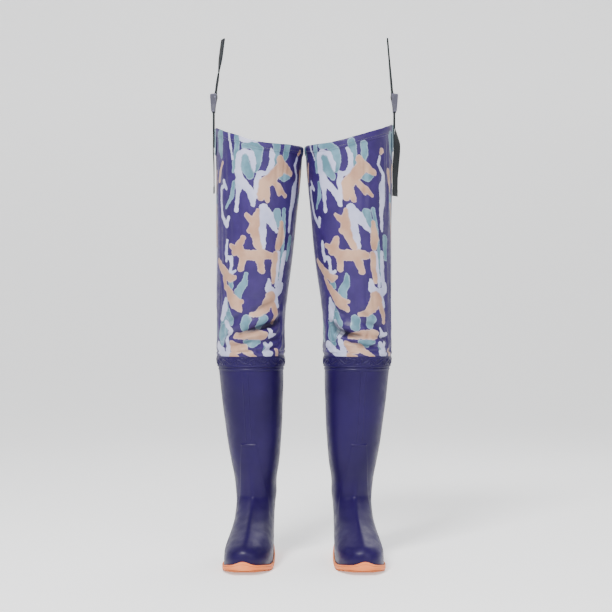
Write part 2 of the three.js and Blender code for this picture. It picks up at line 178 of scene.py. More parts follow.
def new_object(name: str, points: Array, faces: Sequence[Sequence[int]], side: Side = Side.LEFT) -> Piece:
    """A smooth mesh object.

    Args:
        name: The piece's name.
        points: Its points, for a leg at +X.
        faces: Point numbers of each face, counter-clockwise from outside.
        side: The leg it is for: the right one mirrors the points.

    Returns:
        The new object, in the scene.
    """
    points = np.array(points, float).reshape(-1, 3)
    if side is Side.RIGHT:
        points = points * (-1, 1, 1)
        faces = [face[::-1] for face in faces]
    mesh = bpy.data.meshes.new(name)
    mesh.from_pydata(points.tolist(), [], [tuple(face) for face in faces])
    mesh.polygons.foreach_set("use_smooth", np.ones(len(mesh.polygons), bool))
    mesh.update()
    made = bpy.data.objects.new(name, mesh)
    bpy.context.scene.collection.objects.link(made)
    return made


def ring_faces(rows: int, count: int, joined: bool = False, capped: bool = False) -> Faces:
    """Faces of a skin of rings.

    Args:
        rows: How many rings.
        count: Points in each ring.
        joined: Whether the last ring meets the first.
        capped: Whether both ends are closed with one face.

    Returns:
        Point numbers of each face.
    """
    faces: Faces = []
    for i in range(rows if joined else rows - 1):
        low, high = i * count, (i + 1) % rows * count
        faces += [(low + j, low + (j + 1) % count, high + (j + 1) % count, high + j) for j in range(count)]
    if capped:
        faces.append(tuple(range(count))[::-1])
        faces.append(tuple(range((rows - 1) * count, rows * count)))
    return faces


def skin_object(name: str, rows: Array, side: Side, joined: bool = False, capped: bool = False) -> Piece:
    """A mesh object over rings of points; see ring_faces for joined and capped."""
    count = rows.shape[1]
    return new_object(name, rows.reshape(-1, 3), ring_faces(len(rows), count, joined, capped), side)


def note(piece: Piece, name: str, values: Array) -> None:
    """Keeps one number per point on a piece, for its finish to read."""
    attribute = piece.data.attributes.new(name, "FLOAT", "POINT")
    attribute.data.foreach_set("value", np.asarray(values, np.float32).ravel())


def rounded(piece: Piece, width: float, segments: int = 3) -> Piece:
    """Rounds a piece's sharp edges with a bevel of that width.

    Args:
        piece: The piece.
        width: Width of the bevel.
        segments: Steps across it.

    Returns:
        The same piece.
    """
    bevel = piece.modifiers.new("rounded edges", "BEVEL")
    bevel.width = width
    bevel.segments = segments
    bevel.limit_method = "ANGLE"
    bevel.angle_limit = math.radians(35)
    bevel.harden_normals = True
    return piece


def joined_object(name: str, parts: Sequence[Mesh], side: Side) -> Piece:
    """One object from several meshes, each given as points and faces.

    Args:
        name: The piece's name.
        parts: The meshes.
        side: The leg it is for.

    Returns:
        The one object.
    """
    points, faces = [], []
    for part_points, part_faces in parts:
        start = sum(len(p) for p in points)
        points.append(np.asarray(part_points, float).reshape(-1, 3))
        faces += [tuple(start + i for i in face) for face in part_faces]
    return new_object(name, np.concatenate(points), faces, side)


# ---------------------------------------------------------------- finishes


class Sheet:
    """A material's node tree with short ways to add nodes to it."""

    def __init__(self, name: str) -> None:
        """Starts a material with a shader of that name.

        Args:
            name: The material's name.
        """
        self.material = bpy.data.materials.new(name)
        self.material.use_nodes = True
        self.tree = self.material.node_tree
        self.shader = self.tree.nodes["Principled BSDF"]

    def put(self, socket: Socket, value: Value) -> None:
        """Links a socket to another, or sets it to a value.

        Args:
            socket: The socket to feed.
            value: Another socket, or what to set it to.
        """
        if isinstance(value, bpy.types.NodeSocket):
            self.tree.links.new(value, socket)
        else:
            socket.default_value = value

    def add(self, kind: str, inputs: Inputs | None = None, **settings: object) -> bpy.types.Node:
        """Adds a node.

        Args:
            kind: The node's type, without its ShaderNode prefix.
            inputs: Its inputs by name or number, as sockets or values.
            **settings: Properties of the node itself.

        Returns:
            The node.
        """
        node = self.tree.nodes.new("ShaderNode" + kind)
        for key, value in settings.items():
            setattr(node, key, value)
        for key, value in (inputs or {}).items():
            self.put(node.inputs[key], value)
        return node

    def maths(self, operation: str, *values: Value) -> Socket:
        """The result of a sum on one to three values."""
        return self.add("Math", dict(enumerate(values)), operation=operation).outputs[0]

    def ramp(self, value: Value, low: float, high: float, start: float = 0.0, end: float = 1.0) -> Socket:
        """A smooth change from start to end as a value goes from low to high."""
        inputs = {"Value": value, "From Min": low, "From Max": high, "To Min": start, "To Max": end}
        return self.add("MapRange", inputs, interpolation_type="SMOOTHSTEP").outputs[0]

    def mix(self, share: Value, first: Value, second: Value) -> Socket:
        """A colour between two others.

        Args:
            share: 0 for the first colour, 1 for the second.
            first: One colour.
            second: The other.

        Returns:
            The mixed colour.
        """
        node = self.add("Mix", data_type="RGBA")
        for index, value in zip((0, 6, 7), (share, first, second)):
            self.put(node.inputs[index], value)
        return node.outputs[2]

    def noise(self, place: Socket, scale: float, detail: float = 3.0, rough: float = 0.5) -> Socket:
        """Soft random noise from 0 to 1."""
        inputs = {"Vector": place, "Scale": scale, "Detail": detail, "Roughness": rough}
        return self.add("TexNoise", inputs).outputs[0]

    def kept(self, name: str) -> Socket:
        """A number that the piece's points hold."""
        return self.add("Attribute", attribute_name=name).outputs["Fac"]

    def flat_place(self) -> Socket:
        """The place on a piece of cloth: its own width and length coordinates, in metres."""
        return self.add("CombineXYZ", {0: self.kept("across"), 1: self.kept("along")}).outputs[0]

    def own_place(self) -> Socket:
        """The place in the object's own frame, in metres."""
        return self.add("TexCoord").outputs["Object"]

    def raised(
        self, height: Socket, distance: float, strength: float = 1.0, under: Socket | None = None
    ) -> Socket:
        """A surface normal that follows a height map.

        Args:
            height: The height, from 0 to 1.
            distance: What height 1 stands for, in metres.
            strength: How much of it shows.
            under: A normal that it adds to.

        Returns:
            The normal.
        """
        inputs: Inputs = {"Height": height, "Distance": distance, "Strength": strength}
        if under is not None:
            inputs["Normal"] = under
        return self.add("Bump", inputs).outputs[0]

    def finish(self, **sockets: Value) -> bpy.types.Material:
        """Sets the shader's sockets, named with underscores for spaces, and gives the material.

        Args:
            **sockets: What each of the shader's sockets gets.

        Returns:
            The material.
        """
        for key, value in sockets.items():
            self.put(self.shader.inputs[key.replace("_", " ")], value)
        return self.material


@dataclass(frozen=True)
class MouldedPvc:
    """Glossy soft plastic from a polished mould, slightly cloudy and scuffed."""

    name: str
    base: Colour
    cloudy: Colour
    roughness: float = 0.38
    grain: float = 0.00012
    gloss: float = 0.4
    bend: float = 1.35

    def make(self) -> bpy.types.Material:
        """Builds the material.

        Returns:
            The material.
        """
        sheet = Sheet(self.name)
        place = sheet.own_place()
        clouds = sheet.noise(place, 9.0, 4.0, 0.55)
        smears = sheet.noise(place, 55.0, 5.0, 0.6)
        specks = sheet.noise(place, 900.0, 2.0)
        tint = sheet.ramp(clouds, 0.32, 0.72)
        shade = sheet.mix(tint, self.base, self.cloudy)
        shade = sheet.mix(sheet.ramp(smears, 0.62, 0.8, 0.0, 0.25), shade, self.cloudy)
        rough = sheet.ramp(smears, 0.25, 0.75, self.roughness - 0.07, self.roughness + 0.12)
        swell = sheet.raised(sheet.noise(place, 38.0, 3.0), 0.0006, 0.5)
        fine = sheet.raised(specks, self.grain, 0.6, swell)
        return sheet.finish(
            Base_Color=shade, Roughness=rough, Normal=fine, Specular_IOR_Level=self.gloss, IOR=self.bend
        )


@dataclass(frozen=True)
class SolePvc:
    """Matt soft plastic of the outsole, with a stippled face and painted shade, a darker orange, in its low
    places.
    """

    name: str = "sole PVC"
    base: Colour = colour(234, 122, 62)
    worn: Colour = colour(238, 142, 86)
    # painted shade: a darker orange for the sole's hollows
    painted_hollow_shade: Colour = colour(160, 88, 54)

    def make(self) -> bpy.types.Material:
        """Builds the material.

        Returns:
            The material.
        """
        sheet = Sheet(self.name)
        place = sheet.own_place()
        clouds = sheet.noise(place, 22.0, 4.0)
        stipple = sheet.add("TexVoronoi", {"Vector": place, "Scale": 1400.0}).outputs["Distance"]
        shade = sheet.mix(sheet.ramp(clouds, 0.35, 0.7), self.base, self.worn)
        # painted shade: the darker orange fills concave places, found by pointiness
        pointed = sheet.add("NewGeometry").outputs["Pointiness"]
        shade = sheet.mix(sheet.ramp(pointed, 0.49, 0.44), shade, self.painted_hollow_shade)
        rough = sheet.ramp(clouds, 0.3, 0.7, 0.5, 0.66)
        normal = sheet.raised(stipple, 0.00015, 0.5)
        return sheet.finish(Base_Color=shade, Roughness=rough, Normal=normal, Specular_IOR_Level=0.25)


@dataclass(frozen=True)
class PrintedCloth:
    """Coated cloth with a camouflage print: coloured shapes with pale rims over a purple ground, with painted
    shade in its creases.
    """

    name: str = "printed coated cloth"
    ground: Colour = colour(40, 24, 80)
    ground_lit: Colour = colour(49, 32, 92)
    aqua: Colour = colour(98, 134, 150)
    teal: Colour = colour(74, 112, 126)
    pale: Colour = colour(182, 182, 208)
    pale_blue: Colour = colour(158, 162, 194)
    beige: Colour = colour(182, 146, 122)
    tan: Colour = colour(162, 124, 102)
    # painted shade for the bottoms of the creases
    shadow: Colour = colour(14, 10, 30)
    edge: float = 0.0004
    rim: float = 0.25
    ragged: float = 0.0085
    ragged_scale: float = 75.0
    spread: float = 0.0013

    def make(self) -> bpy.types.Material:
        """Builds the material.

        Returns:
            The material.
        """
        sheet = Sheet(self.name)
        place = sheet.flat_place()
        ragged = sheet.maths("SUBTRACT", sheet.noise(place, self.ragged_scale, 3.0, 0.6), 0.5)
        wobble = sheet.maths("MULTIPLY", ragged, self.ragged)
        blotch = sheet.noise(place, 26.0, 3.0)
        shade = sheet.mix(sheet.ramp(blotch, 0.35, 0.7), self.ground, self.ground_lit)
        teal = sheet.mix(sheet.ramp(blotch, 0.4, 0.6), self.aqua, self.teal)
        pale = sheet.mix(sheet.ramp(blotch, 0.3, 0.75), self.pale, self.pale_blue)
        tan = sheet.mix(sheet.ramp(blotch, 0.35, 0.65), self.beige, self.tan)
        for ink, wash in zip(Ink, (teal, pale, teal, tan)):
            reach = sheet.maths("SUBTRACT", sheet.maths("ADD", sheet.kept(ink.value), wobble), self.spread)
            lit = sheet.maths("MULTIPLY", sheet.ramp(reach, -0.0024, -0.0008), self.rim)
            wash = sheet.mix(lit, wash, self.pale)
            shade = sheet.mix(sheet.ramp(reach, self.edge, -self.edge), shade, wash)
        # painted shade: darker the deeper the cloth lies in a crease
        shade = sheet.mix(sheet.ramp(sheet.kept("crease"), 0.0006, 0.0075, 0.0, 0.78), shade, self.shadow)
        weave_u = sheet.maths("SINE", sheet.maths("MULTIPLY", sheet.kept("across"), 2 * math.pi / 0.0011))
        weave_v = sheet.maths("SINE", sheet.maths("MULTIPLY", sheet.kept("along"), 2 * math.pi / 0.0011))
        weave = sheet.maths("MULTIPLY_ADD", sheet.maths("MULTIPLY", weave_u, weave_v), 0.5, 0.5)
        puckers = sheet.raised(sheet.noise(place, 42.0, 4.0, 0.55), 0.0016, 0.55)
        normal = sheet.raised(weave, 0.00006, 0.6, puckers)
        rough = sheet.ramp(sheet.noise(place, 70.0, 3.0), 0.3, 0.7, 0.36, 0.52)
        return sheet.finish(Base_Color=shade, Roughness=rough, Normal=normal, Specular_IOR_Level=0.35)


@dataclass(frozen=True)
class WovenCloth:
    """Plain woven or knitted cloth with visible threads."""

    name: str
    base: Colour
    shadow: Colour
    thread: float = 0.0009
    depth: float = 0.00022
    roughness: float = 0.85
    sheen: float = 0.15

    def make(self) -> bpy.types.Material:
        """Builds the material.

        Returns:
            The material.
        """
        sheet = Sheet(self.name)
        place = sheet.flat_place()
        turns = 2 * math.pi / self.thread
        u = sheet.maths("SINE", sheet.maths("MULTIPLY", sheet.kept("across"), turns))
        v = sheet.maths("SINE", sheet.maths("MULTIPLY", sheet.kept("along"), turns))
        weave = sheet.maths("MULTIPLY_ADD", sheet.maths("MULTIPLY", u, v), 0.5, 0.5)
        fuzz = sheet.noise(place, 1200.0, 2.0)
        worn = sheet.noise(place, 40.0, 4.0)
        # painted shade: darker where the weave is low, between the threads
        shade = sheet.mix(sheet.ramp(weave, 0.1, 0.7), self.shadow, self.base)
        shade = sheet.mix(sheet.ramp(worn, 0.45, 0.8, 0.0, 0.45), shade, self.shadow)
        height = sheet.maths("MULTIPLY_ADD", fuzz, 0.3, weave)
        normal = sheet.raised(height, self.depth, 0.8)
        rough = sheet.ramp(worn, 0.3, 0.7, self.roughness - 0.06, self.roughness + 0.06)
        return sheet.finish(
            Base_Color=shade, Roughness=rough, Normal=normal, Sheen_Weight=self.sheen, Sheen_Roughness=0.5
        )


@dataclass(frozen=True)
class Webbing:
    """Tightly woven strap: fine ribs across it and a plain selvedge along each edge."""

    name: str = "strap webbing"
    base: Colour = colour(38, 42, 46)
    shadow: Colour = colour(14, 16, 18)
    rib: float = 0.0016
    row: float = 0.0024
    half_width: float = 0.0125

    def make(self) -> bpy.types.Material:
        """Builds the material.

        Returns:
            The material.
        """
        sheet = Sheet(self.name)
        place = sheet.flat_place()
        across, along = sheet.kept("across"), sheet.kept("along")
        column = sheet.maths("SINE", sheet.maths("MULTIPLY", across, 2 * math.pi / self.row))
        slant = sheet.maths("MULTIPLY", sheet.maths("ABSOLUTE", column), self.rib / 3)
        slanted = sheet.maths("ADD", along, slant)
        rib = sheet.maths("SINE", sheet.maths("MULTIPLY", slanted, 2 * math.pi / self.rib))
        weave = sheet.maths("MULTIPLY_ADD", sheet.maths("ADD", rib, column), 0.25, 0.5)
        from_middle = sheet.maths("ABSOLUTE", across)
        selvedge = sheet.ramp(from_middle, self.half_width - 0.0016, self.half_width - 0.0009)
        height = sheet.maths("MAXIMUM", weave, selvedge)
        fuzz = sheet.noise(place, 1500.0, 2.0)
        dusty = sheet.noise(place, 60.0, 4.0)
        # painted shade: darker in the hollows between the ribs
        shade = sheet.mix(sheet.ramp(height, 0.15, 0.85), self.shadow, self.base)
        shade = sheet.mix(sheet.ramp(dusty, 0.5, 0.85, 0.0, 0.25), shade, colour(66, 70, 74))
        normal = sheet.raised(sheet.maths("MULTIPLY_ADD", fuzz, 0.25, height), 0.00035, 0.8)
        rough = sheet.ramp(dusty, 0.3, 0.7, 0.68, 0.84)
        return sheet.finish(Base_Color=shade, Roughness=rough, Normal=normal, Specular_IOR_Level=0.25)


@dataclass(frozen=True)
class Acetal:
    """Hard moulded buckle plastic with rubbed edges."""

    name: str = "buckle acetal"
    base: Colour = colour(66, 65, 78)
    rubbed: Colour = colour(120, 118, 138)

    def make(self) -> bpy.types.Material:
        """Builds the material.

        Returns:
            The material.
        """
        sheet = Sheet(self.name)
        place = sheet.own_place()
        texture = sheet.noise(place, 2200.0, 2.0)
        drawn_out = sheet.add("Mapping", {"Vector": place, "Scale": (1, 1, 8)}).outputs[0]
        scratches = sheet.noise(drawn_out, 220.0, 4.0)
        pointed = sheet.add("NewGeometry").outputs["Pointiness"]
        shade = sheet.mix(sheet.ramp(pointed, 0.51, 0.58), self.base, self.rubbed)
        shade = sheet.mix(sheet.ramp(scratches, 0.6, 0.75, 0.0, 0.3), shade, self.rubbed)
        rough = sheet.ramp(scratches, 0.3, 0.8, 0.3, 0.5)
        return sheet.finish(Base_Color=shade, Roughness=rough, Normal=sheet.raised(texture, 0.00005, 0.5))


@dataclass(frozen=True)
class Thread:
    """Twisted sewing thread."""

    name: str
    base: Colour

    def make(self) -> bpy.types.Material:
        """Builds the material.

        Returns:
            The material.
        """
        sheet = Sheet(self.name)
        place = sheet.own_place()
        twist = sheet.add("TexWave", {"Vector": place, "Scale": 700.0, "Distortion": 1.5}).outputs[0]
        shade = sheet.mix(sheet.ramp(twist, 0.2, 0.9, 0.0, 0.4), self.base, (0.5, 0.5, 0.5, 1))
        rough = sheet.ramp(sheet.noise(place, 300.0), 0.3, 0.7, 0.5, 0.7)
        return sheet.finish(Base_Color=shade, Roughness=rough, Normal=sheet.raised(twist, 0.00012, 0.7))


class Finishes:
    """Every material of the waders, each made once."""

    def __init__(self) -> None:
        """Builds the materials."""
        self.boot = MouldedPvc("boot PVC", colour(21, 6, 56), colour(29, 13, 68)).make()
        self.band = MouldedPvc("cuff PVC", colour(20, 7, 56), colour(29, 14, 68), 0.42, 0.0001).make()
        self.sole = SolePvc().make()
        self.print = PrintedCloth().make()
        self.backing = WovenCloth(
            "cloth backing", colour(196, 198, 206), colour(150, 152, 166), 0.0011, 0.00012, 0.62, 0.05
        ).make()
        self.patch = WovenCloth(
            "patch cloth", colour(142, 170, 182), colour(104, 134, 150), 0.0011, 0.0001, 0.5, 0.08
        ).make()
        self.tape = WovenCloth(
            "seam tape", colour(150, 152, 164), colour(118, 120, 134), 0.0016, 0.00008, 0.45, 0.0
        ).make()
        self.lining = WovenCloth(
            "knit lining", colour(176, 176, 180), colour(118, 118, 126), 0.0021, 0.0004
        ).make()
        self.insole = WovenCloth(
            "insole cloth", colour(120, 120, 128), colour(78, 78, 88), 0.0016, 0.0003
        ).make()
        self.webbing = Webbing().make()
        self.buckle = Acetal().make()
        self.dark_thread = Thread("dark thread", colour(30, 28, 44)).make()
        self.light_thread = Thread("light thread", colour(96, 100, 108)).make()


# ---------------------------------------------------------------- shapes of the boot and leg


@dataclass
class BootForm:
    """The boot's outside, as egg-shaped outlines from the sole line to the mouth."""

    foot_length: float = 0.280
    foot_width: float = 0.090
    heel_reach: float = 0.064
    foot_height: float = 0.128
    toe_out: float = math.radians(5.2)
    shin_turn: float = math.radians(8)
    sole_line: float = 0.008
    heel_lift: float = 0.011
    toe_spring: float = 0.006
    mouth_width: float = 0.131
    mouth_depth: float = 0.146
    # height share, toe, heel, half width, widest point, squareness in front and behind, taper to the heel
    foot_levels: tuple[tuple[float, ...], ...] = (
        (0.0, 0.756, 0.99, 0.5, 0.46, 2.3, 2.9, 0.3),
        (0.12, 0.765, 1.0, 0.505, 0.46, 2.3, 2.9, 0.3),
        (0.22, 0.755, 1.0, 0.505, 0.44, 2.3, 2.8, 0.29),
        (0.3, 0.725, 0.99, 0.493, 0.39, 2.3, 2.7, 0.26),
        (0.38, 0.665, 0.97, 0.475, 0.32, 2.25, 2.6, 0.21),
        (0.46, 0.59, 0.95, 0.457, 0.25, 2.2, 2.5, 0.16),
        (0.55, 0.495, 0.92, 0.44, 0.18, 2.15, 2.4, 0.1),
        (0.66, 0.395, 0.89, 0.425, 0.12, 2.1, 2.3, 0.05),
        (0.82, 0.29, 0.86, 0.425, 0.06, 2.0, 2.0, 0.0),
        (1.0, 0.22, 0.84, 0.445, 0.03, 2.0, 2.0, 0.0),
    )
    # shares of the shaft's height and of the way that its section has grown
    shaft_levels: tuple[Pair, ...] = (
        (0.09, 0.06), (0.23, 0.31), (0.39, 0.54), (0.59, 0.75), (0.79, 0.9), (1.0, 1.0),
    )
    mouth: float = field(init=False)
    mouth_x: float = field(init=False)
    ankle_x: float = field(init=False)
    leg_y: float = field(init=False)

    def __post_init__(self) -> None:
        """Takes the boot's place from the frame."""
        low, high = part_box("left_boot_shell")
        self.mouth = high.z
        self.mouth_x = high.x - self.mouth_width / 2
        self.ankle_x = self.mouth_x - 0.013
        low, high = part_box("left_thigh_fabric")
        self.leg_y = (low.y + high.y) / 2

    def sections(self, height: Array) -> list[Array]:
        """Outline sizes at each height.

        Args:
            height: Heights from the sole line to the mouth.

        Returns:
            Toe, heel, half width, widest point, front and back squareness, taper, centre across and turn.
        """
        length, width = self.foot_length, self.foot_width
        rows = []
        for share, toe, heel, half, widest, front, back, taper in self.foot_levels:
            z = self.sole_line + (self.foot_height - self.sole_line) * share
            sizes = (toe * length, heel * self.heel_reach, half * width, widest * length)
            rows.append((z, *sizes, front, back, taper, self.ankle_x, self.toe_out))
        ankle = rows[-1]
        for rise, grow in self.shaft_levels:
            z = self.foot_height + (self.mouth - self.foot_height) * rise
            ends = (self.mouth_depth / 2, self.mouth_depth / 2, self.mouth_width / 2, 0.0)
            sizes = [a + (b - a) * grow for a, b in zip(ankle[1:5], ends)]
            x = self.ankle_x + (self.mouth_x - self.ankle_x) * rise
            rows.append((z, *sizes, 2.0, 2.0, 0.0, x, self.toe_out * float(1 - step(rise, 0, 0.4))))
        columns = list(zip(*rows))
        return [flowing(columns[0], column, height) for column in columns[1:]]

    def lift(self, y: Array) -> Array:
        """How far the underside stands off the ground along the foot: the heel block and the toe's spring."""
        heel = self.heel_lift * step(y, -0.22 * self.foot_length, -0.04 * self.foot_length)
        return heel + self.toe_spring * step(-y, 0.55 * self.foot_length, 0.77 * self.foot_length)

    def surface(self, height: Array, angle: Array, relief: bool = False) -> Array:
        """Rings of the boot's outside.

        Args:
            height: One height for each ring.
            angle: The corners' angles, counter-clockwise from the outer side.
            relief: Whether the moulded ribs and panels stand out.

        Returns:
            Points, by ring and corner.
        """
        sizes = [column[:, None] for column in self.sections(height)]
        toe, heel, half, widest, front, back, taper, centre, turn = sizes
        c, s = np.cos(angle)[None, :], np.sin(angle)[None, :]
        power = np.where(s > 0, back, front)
        across = np.sign(c) * np.abs(c) ** (2 / power)
        run = np.sign(s) * np.abs(s) ** (2 / power)
        x = half * np.where(s > 0, 1 - taper * run, 1) * across
        y = np.where(s > 0, heel + widest, toe - widest) * run - widest
        z = height[:, None] + self.lift(y) * np.maximum(0, 1 - height[:, None] / self.foot_height)
        rows = np.stack([x * np.cos(turn) - y * np.sin(turn), x * np.sin(turn) + y * np.cos(turn), z], axis=2)
        if relief:
            shin = (self.shin_turn - turn) * step(z, 0.1, 0.2)
            raised = self.relief(x * np.cos(shin) + y * np.sin(shin), y, z)
            rows = rows + normals_of(rows) * raised[:, :, None]
        rows[:, :, 0] += centre
        rows[:, :, 1] += self.leg_y
        return rows

    def relief(self, x: Array, y: Array, z: Array) -> Array:
        """Height of the moulded ribs, bar, instep panel and heel counter over the plain form.

        Args:
            x: Across, from the line down the shin.
            y: Along the foot, to the heel.
            z: Height.

        Returns:
            The height over the form at each point.
        """
        front, behind, side = step(-y, -0.004, 0.012), step(y, 0.004, 0.03), np.abs(x)
        shin = step(z, 0.232, 0.240) * step(z, 0.3755, 0.372) * front
        raised = 0.0009 * shin * bump(side - 0.0052, 0.0009)
        raised += 0.0012 * bump(z - 0.2285, 0.0017) * step(side, 0.0165, 0.0145) * front
        panel_half = 0.0148 + 0.13 * np.maximum(0, 0.2285 - z)
        below = step(z, 0.2295, 0.2275) * step(z, 0.078, 0.1) * front
        raised += 0.0007 * below * step(side - panel_half, 0.0016, -0.0010)
        raised += 0.0020 * bump(side, 0.010) * step(z, 0.225, 0.11) * step(z, 0.03, 0.06) * front
        raised += 0.0026 * bump(side, 0.0065) * step(z, 0.200, 0.120) * step(z, 0.060, 0.095) * front
        raised += 0.0009 * behind * bump(x, 0.0035) * step(z, 0.05, 0.065)
        counter = step(z - 0.062 + 0.25 * np.maximum(0, 0.03 - y), 0.0012, -0.0012) * step(y, -0.035, -0.03)
        raised += 0.0009 * counter
        return raised + 0.0005 * unevenness(x + y, z, 0.07, 4)


@dataclass
class LegForm:
    """The cloth leg at rest: a tube that widens from the boot's mouth to the slanting hem."""

    boot: BootForm
    cloth: float = 0.0012
    middle: tuple[float, float, float] = (0.45, 0.157, 0.176)  # share of the thigh's height, width, depth
    bulge: float = 0.009
    # each hem's front edge: share of the way out across the leg, and depth under the hem's highest point
    left_hem: tuple[Pair, ...] = (
        (-0.1, 0.0405), (0.0, 0.0405), (0.21, 0.0411), (0.42, 0.0348),
        (0.68, 0.0214), (0.93, 0.0047), (1.05, -0.0115),
    )
    right_hem: tuple[Pair, ...] = (
        (-0.1, 0.0418), (0.0, 0.0418), (0.25, 0.0427), (0.5, 0.0389),
        (0.74, 0.0248), (0.9, 0.0141), (1.05, -0.0027),
    )
    outer_x: float = field(init=False)

    def __post_init__(self) -> None:
        """Takes the leg's sizes from the frame."""
        low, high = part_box("left_thigh_fabric")
        self.outer_x, self.hem_high = high.x, high.z
        self.top_width, self.top_depth = high.x - low.x, high.y - low.y
        self.knee = low.z - 0.0003
        self.hem_low = self.hem_high - 0.046
        low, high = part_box("left_knee_fabric")
        self.knee_width, self.knee_depth = high.x - low.x, high.y - low.y
        self.foot = low.z

    def hem_height(self, x: Array, side: Side, front: Array | float = 1.0) -> Array:
        """Height of the hem's edge at a distance across the leg.

        Args:
            x: The distance from the pair's middle.
            side: Which leg, because each hem hangs in its own line.
            front: 1 on the front of the leg and 0 on its back, where the hem is straight.

        Returns:
            The height of the edge.
        """
        share = np.clip((x - self.outer_x + self.top_width) / self.top_width, -0.05, 1.05)
        straight = self.hem_low + (self.hem_high - self.hem_low) * share
        places, depths = zip(*(self.left_hem if side is Side.LEFT else self.right_hem))
        return straight + (self.hem_high - flowing(places, depths, share) - straight) * front

    def rings(
        self, level: Array, angle: Array, distance: Array | float, side: Side, rise: Array | float = 0.0
    ) -> Array:
        """Rings of the leg.

        Args:
            level: Heights as on an unslanted leg, one for each ring, from its tucked foot to hem_low.
            angle: The corners' angles, counter-clockwise from the outer side.
            distance: How far outside the cloth's own face, for all rings or for each.
            side: Which leg, because their hems hang in different lines.
            rise: A height added to each ring.

        Returns:
            Points, by ring and corner.
        """
        mouth = self.boot.mouth
        share = (level - self.knee) / (self.hem_low - self.knee)
        tucked = 0.0015
        places = (mouth - 0.022, mouth, mouth + self.bulge, self.knee)
        thigh = (self.knee + self.middle[0] * (self.hem_low - self.knee), self.hem_low)
        widths = (0.1290 + 2 * tucked, self.boot.mouth_width + 2 * tucked, self.knee_width, self.knee_width)
        depths = (0.1445 + 2 * tucked, self.boot.mouth_depth + 2 * tucked, self.knee_depth, self.knee_depth)
        width = flowing(places + thigh, widths + (self.middle[1], self.top_width), level)[:, None]
        depth = flowing(places + thigh, depths + (self.middle[2], self.top_depth), level)[:, None]
        free = step(level, mouth, mouth + self.bulge)[:, None]
        centre = (self.outer_x - width / 2) * free + self.boot.mouth_x * (1 - free)
        out = np.broadcast_to(np.asarray(distance, float), level.shape)[:, None]
        c, s = np.cos(angle)[None, :], np.sin(angle)[None, :]
        bare = centre + width / 2 * c
        edge = self.hem_height(bare, side, step(s, 0.9, 0.1))
        slant = np.clip(share, 0, None)[:, None] * (edge - self.hem_low)
        z = level[:, None] + slant + np.broadcast_to(np.asarray(rise, float), level.shape)[:, None]
        return np.stack([centre + (width / 2 + out) * c, self.boot.leg_y + (depth / 2 + out) * s, z], axis=2)


# ---------------------------------------------------------------- print


# points of a brush stroke: centimetres across the front and up from the cuff, and its half width there
Stroke = tuple[tuple[float, float, float], ...]


